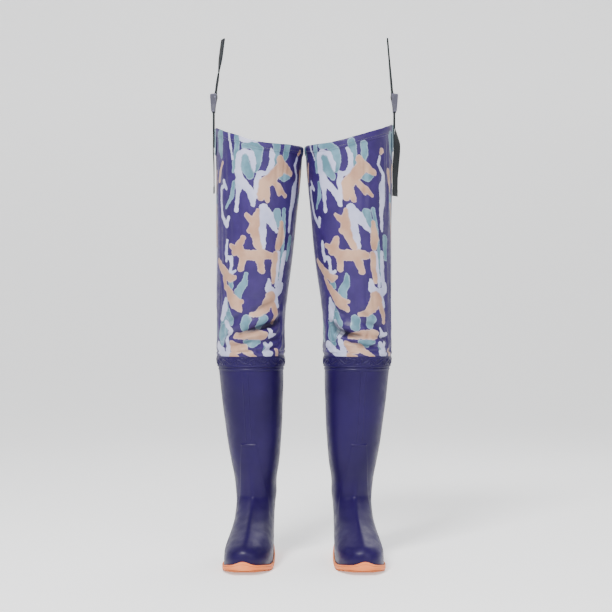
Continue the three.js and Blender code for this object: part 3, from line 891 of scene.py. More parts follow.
@dataclass
class CamoPrint:
    """A repeating camouflage print of leaf, twig and drip shapes, laid on each leg at its own place."""

    repeat: float = 25.0  # centimetres round the leg
    spread: float = 9.2  # half the front's width, over which the strokes are unrolled
    stains: tuple[Stroke, ...] = (
        ((-7.9, 43.4, 1.1), (-8.0, 40.9, 0.8), (-7.7, 39.3, 0.25)),
        ((-4.0, 43.1, 0.6), (-4.3, 40.2, 0.5), (-4.7, 37.4, 0.45), (-5.0, 36.2, 0.2)),
        ((-4.75, 34.0, 0.3), (-5.2, 31.5, 0.45), (-6.5, 29.2, 0.12)),
        ((-2.8, 41.0, 0.45), (-1.0, 41.3, 0.8), (0.2, 40.2, 0.9), (0.2, 38.2, 0.75), (-0.3, 36.4, 0.5)),
        ((3.8, 41.6, 0.8), (3.7, 39.5, 0.65), (3.6, 37.2, 0.4)),
        ((6.0, 41.4, 0.65), (5.7, 39.4, 0.6), (5.4, 38.4, 0.4)),
        ((3.9, 35.3, 0.3), (5.3, 35.0, 0.75), (6.4, 35.2, 0.3)),
        ((4.0, 28.1, 0.8), (4.2, 26.2, 0.95)),
        ((5.5, 28.8, 0.35), (5.4, 24.5, 0.4), (5.3, 21.0, 0.35)),
        ((7.2, 23.3, 0.7), (6.6, 19.4, 0.5)),
        ((5.3, 20.9, 0.4), (4.8, 16.6, 0.45), (4.6, 14.6, 0.35)),
        ((-2.3, 16.2, 0.25), (-2.7, 14.4, 0.6), (-3.9, 12.8, 0.8), (-4.0, 11.5, 0.7)),
        ((-5.5, 14.5, 0.55), (-5.4, 13.9, 0.5)),
        ((-6.6, 11.2, 0.4), (-6.5, 8.8, 1.2), (-6.9, 6.4, 1.5), (-7.4, 4.2, 1.2), (-7.4, 2.6, 0.5)),
        ((-2.3, 7.4, 0.85), (-2.7, 5.9, 0.7)),
        ((1.0, 7.6, 0.85), (0.3, 6.2, 0.6)),
        ((-2.2, 3.1, 0.5), (-1.0, 2.8, 0.75), (0.3, 3.2, 0.4)),
        ((1.8, 2.4, 0.4), (2.0, 0.8, 0.5)),
        ((9.3, 31.5, 0.6), (9.7, 28.0, 0.9), (9.4, 24.5, 0.5)),
        ((8.8, 9.0, 0.5), (9.3, 6.0, 0.8), (9.0, 3.4, 0.4)),
    )
    drips: tuple[Stroke, ...] = (
        ((-2.9, 42.6, 0.75), (-0.3, 42.4, 0.75)),
        ((-3.6, 39.3, 0.65), (-3.9, 36.2, 0.7), (-3.4, 34.6, 0.8)),
        ((-2.8, 39.9, 0.45), (-1.2, 39.4, 0.5), (-0.7, 37.6, 0.45), (-0.8, 36.3, 0.2)),
        ((-3.6, 34.3, 1.0), (-3.95, 31.8, 0.33), (-4.3, 28.6, 0.28)),
        ((-3.2, 34.2, 0.75), (-1.7, 32.7, 0.6), (-1.0, 31.6, 0.8), (-0.8, 29.5, 0.25)),
        (
            (-0.1, 31.6, 0.6), (0.1, 34.0, 0.55), (0.4, 35.6, 0.45), (1.8, 35.7, 0.3),
            (2.8, 37.1, 0.38), (3.1, 39.3, 0.4), (2.8, 40.4, 0.15),
        ),
        (
            (8.1, 39.1, 0.2), (7.7, 37.5, 0.25), (8.2, 35.8, 0.3), (8.2, 34.6, 0.35),
            (7.8, 33.2, 0.85), (7.6, 31.0, 0.8), (7.0, 28.4, 0.4), (6.7, 24.7, 0.25),
        ),
        ((1.2, 29.0, 0.8), (2.2, 27.3, 1.1), (4.0, 24.6, 0.25)),
        ((0.9, 28.0, 0.8), (0.9, 25.2, 0.75), (0.9, 22.1, 0.65), (1.0, 20.9, 0.35)),
        ((4.4, 20.4, 0.3), (4.2, 17.5, 0.35), (4.0, 14.0, 0.3)),
        ((5.9, 20.4, 0.4), (5.3, 16.6, 0.5), (5.0, 14.0, 0.4)),
        ((2.3, 15.0, 0.3), (2.2, 13.3, 0.65), (3.7, 12.4, 0.8), (5.3, 13.2, 0.6), (5.7, 14.3, 0.3)),
        ((4.0, 12.2, 0.5), (4.4, 10.2, 0.45)),
        ((-7.1, 34.6, 0.2), (-6.9, 33.6, 0.3), (-6.5, 33.0, 0.2)),
        ((-6.9, 33.6, 0.25), (-7.7, 33.2, 0.3), (-7.7, 30.8, 0.3), (-7.4, 27.7, 0.3)),
        ((-7.4, 27.7, 0.3), (-6.4, 25.8, 0.35), (-6.0, 27.2, 0.3)),
        ((-5.9, 43.9, 0.14), (-5.6, 41.1, 0.12), (-5.1, 38.6, 0.12)),
        ((-6.2, 22.8, 0.2), (-6.4, 20.5, 0.4), (-6.4, 18.9, 0.2)),
        ((-6.3, 19.6, 0.25), (-5.4, 19.4, 0.3), (-5.3, 17.9, 0.25), (-5.6, 16.4, 0.3), (-4.6, 16.8, 0.2)),
        ((-6.6, 11.5, 0.2), (-6.7, 9.7, 0.85), (-7.4, 7.6, 0.55)),
        ((-6.5, 6.8, 0.45), (-5.5, 5.4, 0.4), (-6.1, 4.0, 0.2)),
        ((-8.3, 2.4, 0.7), (-7.0, 0.7, 0.75), (-6.4, -0.3, 0.8)),
        ((-6.0, 3.2, 0.45), (-5.8, 1.0, 0.5), (-5.7, -0.5, 0.5)),
        ((2.6, 5.6, 0.2), (2.75, 4.3, 0.4), (4.15, 4.5, 0.2)),
        ((1.8, 2.75, 0.3), (2.4, 1.8, 0.45), (3.1, 2.75, 0.2)),
        ((1.8, 0.6, 0.6), (2.75, 0.6, 0.6)),
        ((9.6, 21.5, 0.15), (9.3, 18.0, 0.25), (9.8, 14.5, 0.35), (9.4, 11.5, 0.12)),
    )
    top_stains: tuple[Stroke, ...] = (
        ((-2.5, 38.6, 0.7), (-2.2, 36.6, 1.05), (-1.4, 35.3, 0.7)),
        ((-5.9, 8.2, 0.7), (-5.3, 6.6, 0.5)),
        ((-7.2, 5.6, 0.9), (-7.4, 3.6, 0.6)),
    )
    leaves: tuple[Stroke, ...] = (
        ((4.6, 38.4, 0.7), (5.1, 37.1, 1.1), (6.8, 35.9, 0.5)),
        ((4.6, 36.6, 1.1), (2.8, 34.9, 0.95), (1.5, 33.7, 1.1), (0.9, 31.8, 0.8), (0.7, 30.9, 0.5)),
        ((2.8, 34.4, 0.5), (4.6, 32.7, 0.55), (5.7, 31.5, 0.3)),
        ((3.7, 33.6, 0.3), (4.4, 31.8, 0.3)),
        ((1.7, 32.7, 0.8), (2.0, 30.5, 0.4)),
        ((8.5, 40.3, 0.4), (8.3, 39.8, 0.3)),
        ((5.0, 26.2, 0.4), (4.9, 23.4, 0.9), (4.3, 21.5, 0.6)),
        ((-2.2, 27.7, 0.3), (-1.2, 26.7, 0.6)),
        ((0.2, 28.6, 0.3), (-0.5, 26.5, 0.8), (-0.7, 24.9, 0.95), (-0.3, 23.0, 0.65), (0.2, 21.5, 0.65)),
        ((-1.6, 24.6, 0.45), (-1.1, 24.6, 0.5)),
        ((-2.9, 23.2, 0.45), (-3.7, 21.8, 0.7), (-3.6, 20.6, 0.7)),
        (
            (-5.4, 21.8, 0.35), (-4.1, 20.9, 0.8), (-2.9, 19.9, 0.95),
            (-0.7, 19.9, 0.95), (0.9, 20.1, 0.95), (2.6, 19.8, 0.55),
        ),
        ((-3.0, 19.3, 0.65), (-3.4, 17.3, 0.55)),
        ((0.4, 19.3, 0.8), (0.8, 16.8, 0.55)),
        ((-4.6, 20.5, 0.55), (-4.3, 20.4, 0.5)),
        ((-8.2, 19.0, 0.45), (-6.9, 16.8, 0.8), (-5.5, 15.4, 0.7), (-4.6, 15.6, 0.35)),
        ((-6.9, 15.6, 0.4), (-6.6, 13.7, 0.4)),
        ((-6.2, 13.6, 0.5), (-5.4, 11.8, 0.95), (-4.5, 10.6, 1.2), (-3.7, 9.4, 0.5)),
        ((-4.0, 10.9, 0.6), (-3.1, 10.9, 0.3)),
        ((2.8, 11.5, 1.3), (1.5, 9.6, 0.8), (0.0, 8.6, 0.5), (-1.4, 8.4, 0.3)),
        ((3.5, 10.2, 0.65), (3.8, 8.4, 0.6), (3.8, 7.0, 0.4)),
        ((3.7, 20.0, 0.6), (3.4, 17.0, 0.55), (3.3, 14.8, 0.4)),
        ((-4.2, 4.3, 0.45), (-1.9, 4.5, 0.7), (0.6, 4.5, 0.9), (1.3, 4.5, 0.7)),
        ((-5.0, 2.6, 0.7), (-4.2, 1.7, 1.2), (-2.7, 1.9, 0.8)),
        ((-2.6, 1.3, 0.5), (-1.4, 0.6, 0.4), (-0.4, -0.2, 0.3)),
        ((-5.0, 0.3, 0.5), (-4.0, -0.2, 0.5)),
        ((4.3, 1.3, 0.35), (4.6, -0.2, 0.3)),
        ((-7.4, 38.1, 0.2), (-8.0, 36.6, 0.35), (-8.2, 34.8, 0.25)),
        ((9.0, 36.5, 0.5), (9.6, 34.5, 0.6), (9.2, 32.8, 0.2)),
        ((-9.6, 30.0, 0.4), (-9.0, 27.5, 0.3), (-9.6, 24.0, 0.4), (-9.0, 22.0, 0.15)),
    )

    def strokes(self, ink: Ink) -> tuple[Stroke, ...]:
        """The strokes laid down in one ink."""
        return dict(zip(Ink, (self.stains, self.drips, self.top_stains, self.leaves)))[ink]

    def unrolled(self, x: float) -> float:
        """A place across the front, as seen face on, as a length round the leg."""
        return self.spread * math.asin(max(-0.98, min(0.98, x / self.spread)))

    def depth(self, ink: Ink, x: Array, height: Array) -> Array:
        """How far outside an ink's shapes each place is, or inside where it is negative.

        Args:
            ink: Which colour.
            x: Centimetres round the leg.
            height: Centimetres up from the cuff.

        Returns:
            Distances in metres.
        """
        x = (x + self.repeat / 2) % self.repeat - self.repeat / 2
        nearest = np.full(x.shape, 9.0)
        for stroke in self.strokes(ink):
            for (x0, h0, r0), (x1, h1, r1) in zip(stroke, stroke[1:]):
                x0, x1 = self.unrolled(x0), self.unrolled(x1)
                for shift in (-self.repeat, 0.0, self.repeat):
                    if min(abs(x0 + shift), abs(x1 + shift)) > self.repeat / 2 + 1.5:
                        continue
                    run, rise = x1 - x0, h1 - h0
                    share = ((x - x0 - shift) * run + (height - h0) * rise) / (run * run + rise * rise + 1e-9)
                    share = np.clip(share, 0, 1)
                    away = np.hypot(x - x0 - shift - share * run, height - h0 - share * rise)
                    nearest = np.minimum(nearest, away - r0 - share * (r1 - r0))
        return nearest / 100

    def place(self, side: Side, x: Array, height: Array) -> Array:
        """Centimetres across the print at a length round a leg from the pair's middle.

        Args:
            side: Which leg. The cloth of the left one was cut further along the roll and a little aslant.
            x: Metres across, as if the leg's front were unrolled, the same way on both legs.
            height: Centimetres up from the cuff.

        Returns:
            The place on the print.
        """
        along_roll = 9.1 if side is Side.RIGHT else 9.1 - 2 * (7.7 + (36.9 - height) * 0.106)
        return x * 100 + along_roll

    def dye(self, piece: Piece, side: Side, x: Array, height: Array) -> None:
        """Keeps each ink's distance on a piece's points.

        Args:
            piece: The piece to print.
            side: Which leg.
            x: Metres across, unrolled.
            height: Metres over the cuff.
        """
        height = np.asarray(height) * 100
        across = self.place(side, np.asarray(x), height)
        for ink in Ink:
            note(piece, ink.value, self.depth(ink, across, height))


# ---------------------------------------------------------------- the boot


@dataclass
class Boot:
    """One moulded boot: outsole, shell, lining, insole and the embossed band round its mouth."""

    form: BootForm
    finishes: Finishes
    side: Side
    gap: float = 0.0003
    wall: float = 0.003
    lining_wall: float = 0.0012
    insole_thickness: float = 0.004
    sole_wall: float = 0.003
    groove: float = 0.0032
    groove_width: float = 0.0045
    lug_pitch: float = 0.0154
    band_height: float = 0.029
    band_wall: float = 0.0016

    def build(self) -> int:
        """Builds and dresses every piece, and gives how many there are."""
        pieces = [self.shell(), self.lining(), self.insole(), self.outsole(), self.tread(), self.band()]
        return len(pieces)

    def dress(self, piece: Piece, material: bpy.types.Material, slot: str, *nodes: str) -> Piece:
        """Gives a piece its material, its body and the plain solids that it stands for.

        Args:
            piece: The piece.
            material: Its finish.
            slot: Not used.
            *nodes: The plain solids, without their side.

        Returns:
            The same piece.
        """
        piece.data.materials.append(material)
        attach(piece, self.side.named("boot"))
        if nodes:
            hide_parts(*[self.side.named(node) for node in nodes])
        return piece

    def heights(self) -> Array:
        """Ring heights, close together over the instep and at the bar across the shin.

        Returns:
            The heights, rising.
        """
        low, top = self.form.sole_line + 0.002, self.form.mouth
        spans = ((low, 0.05, 0.0024), (0.05, 0.075, 0.0012), (0.075, 0.13, 0.002), (0.13, 0.222, 0.0036))
        spans += ((0.222, 0.242, 0.0008), (0.242, 0.368, 0.004), (0.368, 0.377, 0.001), (0.377, top, 0.004))
        return np.concatenate([np.arange(a, b - pitch / 2, pitch) for a, b, pitch in spans] + [[top]])

    def corners(self) -> Array:
        """Ring angles, closer together down the front where the ribs are.

        Returns:
            The angles in radians.
        """
        front = np.linspace(-24, 24, 97)
        back = np.linspace(24, 336, 208)[1:-1]
        return np.radians(270 + np.concatenate([front, back]))

    def shell(self) -> Piece:
        """The boot's moulded wall, with its ribs and panels.

        Returns:
            The piece.
        """
        heights, corners = self.heights(), self.corners()
        outside = self.form.surface(heights, corners, relief=True)
        bare = self.form.surface(heights, corners)
        inside = bare - normals_of(bare) * self.wall
        inside[-1, :, 2] = outside[-1, :, 2]
        lip = (outside[-1] + inside[-1]) / 2
        outside[-1, :, 2] -= 0.0006
        inside[-1, :, 2] -= 0.0006
        rows = np.concatenate([outside, lip[None], inside[::-3]])
        piece = skin_object(self.side.named("shell"), rows, self.side, capped=True)
        return self.dress(piece, self.finishes.boot, "boot_pvc", "boot_shell")

    def lining(self) -> Piece:
        """The knitted lining, seen down the boot.

        Returns:
            The piece.
        """
        foot, shaft = np.linspace(0.0132, 0.128, 46), np.linspace(0.134, self.form.mouth - 0.0004, 44)
        heights = np.concatenate([foot, shaft])
        corners = np.linspace(0, 2 * np.pi, 121)[:-1]
        bare = self.form.surface(heights, corners)
        normal = normals_of(bare)
        depth = self.wall + self.gap
        outer = bare - normal * depth
        inner = bare - normal * (depth + self.lining_wall)
        inner[0, :, 2] += self.lining_wall
        rows = np.concatenate([outer, inner[::-1]])
        piece = skin_object(self.side.named("knit_lining"), rows, self.side, capped=True)
        girth = np.concatenate([[0], np.cumsum(np.linalg.norm(np.diff(bare[-1], axis=0), axis=1))])
        note(piece, "across", np.broadcast_to(girth, rows.shape[:2]))
        note(piece, "along", rows[:, :, 2])
        return self.dress(piece, self.finishes.lining, "knit_lining", "boot_lining")

    def insole(self) -> Piece:
        """The footbed, dished at the heel and rounded at its edge.

        Returns:
            The piece.
        """
        corners = np.linspace(0, 2 * np.pi, 121)[:-1]
        depth = self.wall + 2 * self.gap + self.lining_wall
        ring = self.form.surface(np.array([self.form.sole_line, 0.0236]), corners)
        flat = normals_of(ring)[0] * (1, 1, 0)
        flat /= np.linalg.norm(flat, axis=1, keepdims=True)
        edge = ring[0] - flat * (depth + 0.0015)
        edge[:, 2] += depth
        middle = edge.mean(axis=0)
        rows = [edge + (0, 0, 0.0003), edge + (0, 0, self.insole_thickness - 0.001)]
        for share in (0.985, 0.95, 0.88, 0.75, 0.6, 0.42, 0.22, 0.06):
            row = middle + (edge - middle) * share
            row[:, 2] = self.form.sole_line + self.form.lift(row[:, 1] - self.form.leg_y) + depth
            row[:, 2] += self.insole_thickness + 0.0006 * (share - 0.6)
            rows.append(row)
        piece = skin_object(self.side.named("footbed"), np.array(rows), self.side, capped=True)
        note(piece, "across", np.array(rows)[:, :, 0])
        note(piece, "along", np.array(rows)[:, :, 1])
        return self.dress(piece, self.finishes.insole, "foam_insole", "insole")

    def edge_height(self, row: Array) -> Array:
        """How high the sole's wall stands round the boot: up at toe and heel, low beside the toes.

        Args:
            row: One ring of points round the boot.

        Returns:
            The height over the ground at each.
        """
        length = self.form.foot_length
        y = row[:, 1] - self.form.leg_y
        x = row[:, 0] - self.form.ankle_x + y * math.tan(self.form.toe_out)
        toe = 0.008 * bump(x, 0.017) * step(-y, 0.55 * length, 0.7 * length)
        return 0.012 + toe + 0.012 * step(y, -0.15 * length, 0.05 * length) + self.spring(y)

    def spring(self, y: Array) -> Array:
        """How far the toe turns up from the ground."""
        return self.form.toe_spring * step(-y, 0.55 * self.form.foot_length, 0.77 * self.form.foot_length)

    def outline(self, outside: float, corners: Array) -> Array:
        """The sole's outline that far outside the boot.

        Args:
            outside: The distance.
            corners: Angles round the boot.

        Returns:
            One ring of points.
        """
        rows = self.form.surface(np.array([self.form.sole_line, 0.016, 0.0236]), corners)
        flat = normals_of(rows)[1] * (1, 1, 0)
        return rows[2] + flat / np.linalg.norm(flat, axis=1, keepdims=True) * outside

    def outsole(self) -> Piece:
        """The outsole's tray: its wall, with a welt line near the top, and its base plate.

        Returns:
            The piece.
        """
        corners = np.linspace(0, 2 * np.pi, 289)[:-1]
        full = self.gap + self.sole_wall
        top = self.edge_height(self.outline(full, corners))
        rows = []
        base = self.groove
        for share, out in (
            (0.0, full - 0.004), (0.0, full - 0.0012), (0.03, full - 0.0004), (0.1, full),
            (0.3, full + 0.0001), (0.5, full), (0.6, full), (0.65, full - 0.0006),
            (0.7, full - 0.0006), (0.75, full), (0.9, full), (0.96, full - 0.0004),
            (1.0, full - 0.0012), (1.0, self.gap + 0.0008), (0.97, self.gap), (0.6, self.gap),
        ):
            row = self.outline(out, corners)
            row[:, 2] = base + self.spring(row[:, 1] - self.form.leg_y)
            row[:, 2] += share * (top - row[:, 2])
            rows.append(row)
        piece = skin_object(self.side.named("sole_tray"), np.array(rows), self.side, capped=True)
        return self.dress(piece, self.finishes.sole, "sole_pvc", "outsole")

    def tread(self) -> Piece:
        """The cross lugs under the ball and heel.

        Returns:
            The piece.
        """
        corners = np.linspace(0, 2 * np.pi, 721)[:-1]
        ring = self.outline(self.gap + self.sole_wall - 0.0014, corners)
        x, y = ring[:, 0], ring[:, 1] - self.form.leg_y
        centre = self.form.ankle_x
        toe_end, heel_end = y.min(), y.max()
        length = self.form.foot_length

        def lug(start: float, end: float) -> Mesh:
            """Points and faces of one lug between two places along the foot.

            Args:
                start: Where it begins.
                end: Where it ends.

            Returns:
                Points and faces.
            """
            places = np.linspace(start, end, 9)
            lows, highs = [], []
            for place in places:
                near = np.abs(y - np.clip(place, toe_end + 0.0012, heel_end - 0.0012)) < 0.0035
                lows.append(x[near & (x < centre - place * 0.05)].min())
                highs.append(x[near & (x > centre - place * 0.05)].max())
            around = [*zip(lows, places), *reversed(list(zip(highs, places)))]
            flat = np.array([(px, py + self.form.leg_y, 0.0) for px, py in around])
            lifted = self.spring(flat[:, 1] - self.form.leg_y)
            under, over = flat.copy(), flat.copy()
            under[:, 2], over[:, 2] = lifted, lifted + self.groove + 0.0004
            points = np.concatenate([over, under])
            count = len(flat)
            faces = [tuple(range(count)), tuple(range(count, 2 * count))[::-1]]
            faces += [(i, i + count, (i + 1) % count + count, (i + 1) % count) for i in range(count)]
            return points, faces

        edges = [-0.195 * length]
        while edges[-1] - self.lug_pitch > toe_end + 0.02:
            edges.append(edges[-1] - self.lug_pitch)
        half = self.groove_width / 2
        spans = [(low + half, high - half) for high, low in zip(edges, edges[1:])]
        spans.append((toe_end + 0.001, edges[-1] - half))
        heels = [-0.035 * length + i * self.lug_pitch for i in range(4)]
        spans += [(low + half, high - half) for low, high in zip(heels, heels[1:])]
        spans += [(heels[-1] + half, heel_end - 0.001)]
        piece = joined_object(self.side.named("tread_lugs"), [lug(*span) for span in spans], self.side)
        return self.dress(rounded(piece, 0.0007, 2), self.finishes.sole, "sole_pvc")

    def scroll(self, u: Array, v: Array, period: float) -> Array:
        """Height of the cuff's ornament, a running stem with curls, from 0 to 1.

        Args:
            u: Length round the band.
            v: Height over the band's middle.
            period: Length of one repeat.

        Returns:
            The height.
        """
        u = u % period
        stem = bump(v - 0.0038 * np.sin(2 * np.pi * u / period), 0.0009)
        total = stem
        for centre, lift in ((0.25, -0.0036), (0.75, 0.0036)):
            du = (u - centre * period + period / 2) % period - period / 2
            reach = np.hypot(du, v - lift)
            turn = np.arctan2(v - lift, du)
            curl = np.abs(reach - 0.0012 - 0.0026 * ((turn / (2 * np.pi) + (0.25 if lift > 0 else 0.75)) % 1))
            total = np.maximum(total, bump(curl, 0.0007) * (reach < 0.0048))
            total = np.maximum(total, bump(reach, 0.001))
            leaf = np.hypot((du - 0.0062) / 1.9, v - lift * 1.6)
            total = np.maximum(total, 0.8 * bump(leaf, 0.0014))
        return total

    def band(self) -> Piece:
        """The embossed band that covers the weld between boot and cloth.

        Returns:
            The piece.
        """
        corners = np.linspace(0, 2 * np.pi, 901)[:-1]
        inside = 2 * self.gap + 0.0012
        top = self.form.mouth
        heights = np.linspace(top - self.band_height, top, 61)
        ring = self.form.surface(np.array([top - 0.0145, top - 0.0005]), corners)
        girth = np.concatenate([[0], np.cumsum(np.linalg.norm(np.diff(ring[0], axis=0), axis=1))])
        total = girth[-1] + np.linalg.norm(ring[0, 0] - ring[0, -1])
        period = total / round(total / 0.031)
        bare = self.form.surface(heights, corners)
        below = top - heights[:, None]
        middle = below - 0.0105
        field_height = step(below, 0.0222, 0.0205)
        height = 0.0013 * self.scroll(girth[None, :], -middle, period) * (np.abs(middle) < 0.0088)
        height = height + 0.0005 * bump(np.abs(middle) - 0.0097, 0.0007)
        wide = inside + self.band_wall - 0.0009 * step(below, 0.0012, 0.0) - 0.0006
        narrow = 0.0008 + 0.0009 * bump(below - 0.0256, 0.0012)
        out = (narrow + (wide - narrow) * field_height + height) * step(below, self.band_height, 0.0283)
        outer = bare + normals_of(bare) * out[:, :, None]
        hollow = inside + (self.gap - inside) * step(below[::-6], 0.0205, 0.0222)
        inner = bare[::-6] + normals_of(bare[::-6]) * hollow[:, :, None]
        rows = np.concatenate([outer, inner])
        piece = skin_object(self.side.named("embossed_band"), rows, self.side, joined=True)
        return self.dress(piece, self.finishes.band, "boot_pvc", "cuff_band")


# ---------------------------------------------------------------- the cloth leg


@dataclass(frozen=True)
class Fold:
    """A crease in the cloth: its ends as metres from the leg's front line and height over the cuff."""

    start: Pair
    end: Pair
    depth: float
    width: float


@dataclass
class ClothLeg:
    """One printed cloth leg with its hem, corner patch, seam tape and stitching."""

    form: LegForm
    print: CamoPrint
    finishes: Finishes
    side: Side
    corners: int = 144
    row_pitch: float = 0.0034
    slack: float = 0.05
    hem_fold: float = 0.014
    most_move: float = 0.0035
    crease: Array = field(init=False)
    shape: Array = field(init=False)
    right_folds: tuple[Fold, ...] = (
        Fold((-0.022, 0.046), (0.075, 0.074), -0.0110, 0.0070),
        Fold((-0.030, 0.060), (0.080, 0.093), 0.0060, 0.0090),
        Fold((-0.050, 0.030), (0.030, 0.052), 0.0060, 0.0070),
        Fold((-0.070, 0.040), (-0.020, 0.052), -0.0040, 0.0050),
        Fold((-0.060, 0.020), (0.020, 0.036), -0.0035, 0.0050),
        Fold((0.015, 0.028), (0.080, 0.040), -0.0045, 0.0060),
        Fold((0.020, 0.048), (0.080, 0.056), 0.0040, 0.0070),
        Fold((-0.040, 0.015), (0.060, 0.019), 0.0025, 0.0060),
        Fold((-0.085, 0.095), (-0.060, 0.160), -0.0030, 0.0080),
        Fold((-0.030, 0.130), (0.020, 0.110), -0.0018, 0.0100),
        Fold((-0.010, 0.086), (0.060, 0.112), -0.0042, 0.0060),
        Fold((-0.060, 0.066), (-0.020, 0.084), -0.0042, 0.0060),
        Fold((0.020, 0.012), (0.070, 0.022), -0.0045, 0.0040),
    )
    left_folds: tuple[Fold, ...] = (
        Fold((-0.055, 0.052), (0.020, 0.041), -0.0095, 0.0055),
        Fold((-0.070, 0.072), (-0.030, 0.050), -0.0080, 0.0075),
        Fold((-0.040, 0.062), (0.010, 0.056), 0.0060, 0.0080),
        Fold((0.005, 0.070), (0.050, 0.062), -0.0045, 0.0060),
        Fold((0.000, 0.098), (0.030, 0.078), -0.0040, 0.0085),
        Fold((-0.010, 0.112), (0.020, 0.098), 0.0030, 0.0080),
        Fold((-0.045, 0.021), (0.070, 0.021), -0.0022, 0.0030),
        Fold((-0.010, 0.036), (0.060, 0.050), 0.0030, 0.0080),
        Fold((0.030, 0.088), (0.070, 0.074), 0.0030, 0.0080),
        Fold((0.020, 0.150), (0.055, 0.120), -0.0020, 0.0100),
        Fold((-0.030, 0.031), (0.030, 0.023), -0.0045, 0.0045),
        Fold((-0.060, 0.102), (-0.020, 0.080), -0.0042, 0.0070),
        Fold((0.020, 0.046), (0.070, 0.036), -0.0055, 0.0050),
    )

    def build(self) -> int:
        """Builds and dresses every piece, and gives how many there are.

        Returns:
            How many pieces there are.
        """
        leg = self.leg()
        hem = self.hem()
        pieces = [leg, hem, self.tape(), self.patch()]
        pieces += [self.hem_stitches(), self.patch_stitches(), self.seam()]
        return len(pieces)

    def angles(self, count: int) -> Array:
        """Ring angles from the back seam round."""
        return np.pi / 2 + np.linspace(0, 2 * np.pi, count + 1)[:-1]

    def levels(self) -> Array:
        """Ring heights of the simulated cloth."""
        low, high = self.form.foot + 0.001, self.form.hem_low
        return np.linspace(low, high, round((high - low) / self.row_pitch) + 1)

    def girths(self, rows: Array) -> Array:
        """Lengths round each ring, from its front point.

        Args:
            rows: Points, by ring and corner.

        Returns:
            A length for each point.
        """
        lengths = np.linalg.norm(np.diff(rows, axis=1), axis=2)
        total = np.concatenate([np.zeros((len(rows), 1)), np.cumsum(lengths, axis=1)], axis=1)
        return total - total[:, rows.shape[1] // 2][:, None]

    def creased(self, rows: Array) -> Array:
        """Rings with the pressed-in folds over the cuff and behind the knee.

        Args:
            rows: The leg at rest.

        Returns:
            The leg with its folds.
        """
        girth = self.girths(rows)
        height = rows[:, :, 2] - self.form.boot.mouth
        u = girth * (1 if self.side is Side.LEFT else -1)
        total = np.zeros(rows.shape[:2])
        folds = self.left_folds if self.side is Side.LEFT else self.right_folds
        behind = []
        for i in range(4):
            low = 0.02 + 0.026 * i
            behind.append(Fold((0.15 + 0.02 * i, low), (0.235, low + 0.01), -0.004, 0.006))
        for i in range(4):
            low = 0.032 + 0.026 * i
            behind.append(Fold((-0.15 - 0.02 * i, low), (-0.235, low + 0.01), -0.004, 0.006))
        for fold in (*folds, *behind):
            run, rise = fold.end[0] - fold.start[0], fold.end[1] - fold.start[1]
            du, dv = u - fold.start[0], height - fold.start[1]
            share = np.clip((du * run + dv * rise) / (run**2 + rise**2), 0, 1)
            away = np.hypot(du - share * run, dv - share * rise)
            total += fold.depth * bump(away, fold.width) * np.sin(np.pi * np.clip(share, 0.08, 0.92)) ** 0.5
        free = step(height, 0.002, 0.012)
        ripple = 0.0022 * unevenness(u, height * 0.35, 0.05, 11 if self.side is Side.LEFT else 23)
        fine = 0.0009 * unevenness(u, height, 0.02, 31) * step(height, 0.16, 0.05)
        near_hem = step(rows[:, :, 2] - self.form.hem_height(rows[:, :, 0], self.side), -0.02, -0.05)
        # depth into the creases, which the print turns into painted shade
        self.crease = -total * free
        total = (total + ripple * near_hem * step(height, 0.02, 0.12) + fine) * free
        return rows + normals_of(rows) * total[:, :, None]

    def settled(self, rows: Array) -> Array:
        """Rings after the slack cloth has sunk under its own weight, by simulation.

        Args:
            rows: The cloth as it is put up.

        Returns:
            The cloth at rest, no point moved by more than most_move.
        """
        count = rows.shape[1]
        cloth = skin_object("settling cloth", rows, Side.LEFT)
        height = rows[:, :, 2] - self.form.boot.mouth
        held = np.maximum(step(height, 0.006, 0.001), 0)
        held[-5:] = 1
        held = np.maximum(held, 0.02 * step(height, 0.1, 0.2))
        pins = cloth.vertex_groups.new(name="held")
        for index, weight in enumerate(held.ravel()):
            if weight > 0:
                pins.add([index], float(weight), "REPLACE")
        cloth.shape_key_add(name="Basis")
        cut = cloth.shape_key_add(name="cut")
        longer = rows.copy()
        stretch = 1 + self.slack * step(height, 0.0, 0.01) * step(height, 0.17, 0.07)
        rises = np.diff(rows[:, :, 2], axis=0) * stretch[1:]
        longer[1:, :, 2] = rows[0, :, 2] + np.cumsum(rises, axis=0)
        cut.data.foreach_set("co", longer.astype(np.float32).ravel())
        modifier = cloth.modifiers.new("cloth", "CLOTH")
        settings = modifier.settings
        settings.quality = 6
        settings.mass = 0.25
        settings.tension_stiffness = settings.compression_stiffness = 30
        settings.shear_stiffness = 12
        settings.bending_stiffness = 0.9
        settings.tension_damping = settings.compression_damping = 12
        settings.air_damping = 2
        settings.vertex_group_mass = "held"
        settings.rest_shape_key = cut
        settings.use_pressure = True
        settings.uniform_pressure_force = 0.05
        modifier.collision_settings.use_collision = False
        scene = bpy.context.scene
        for number in range(1, 23):
            scene.frame_set(number)
        result = cloth.evaluated_get(bpy.context.evaluated_depsgraph_get())
        points = np.zeros(len(cloth.data.vertices) * 3, np.float32)
        result.data.vertices.foreach_get("co", points)
        mesh = cloth.data
        bpy.data.objects.remove(cloth)
        bpy.data.meshes.remove(mesh)
        scene.frame_set(1)
        moved = points.reshape(-1, count, 3).astype(float) - rows
        far = np.linalg.norm(moved, axis=2, keepdims=True)
        limited = self.most_move * np.tanh(far / self.most_move)
        log.info("cloth moved by %.1f mm at most", far.max() * 1000)
        return rows + moved / np.maximum(far, 1e-9) * limited

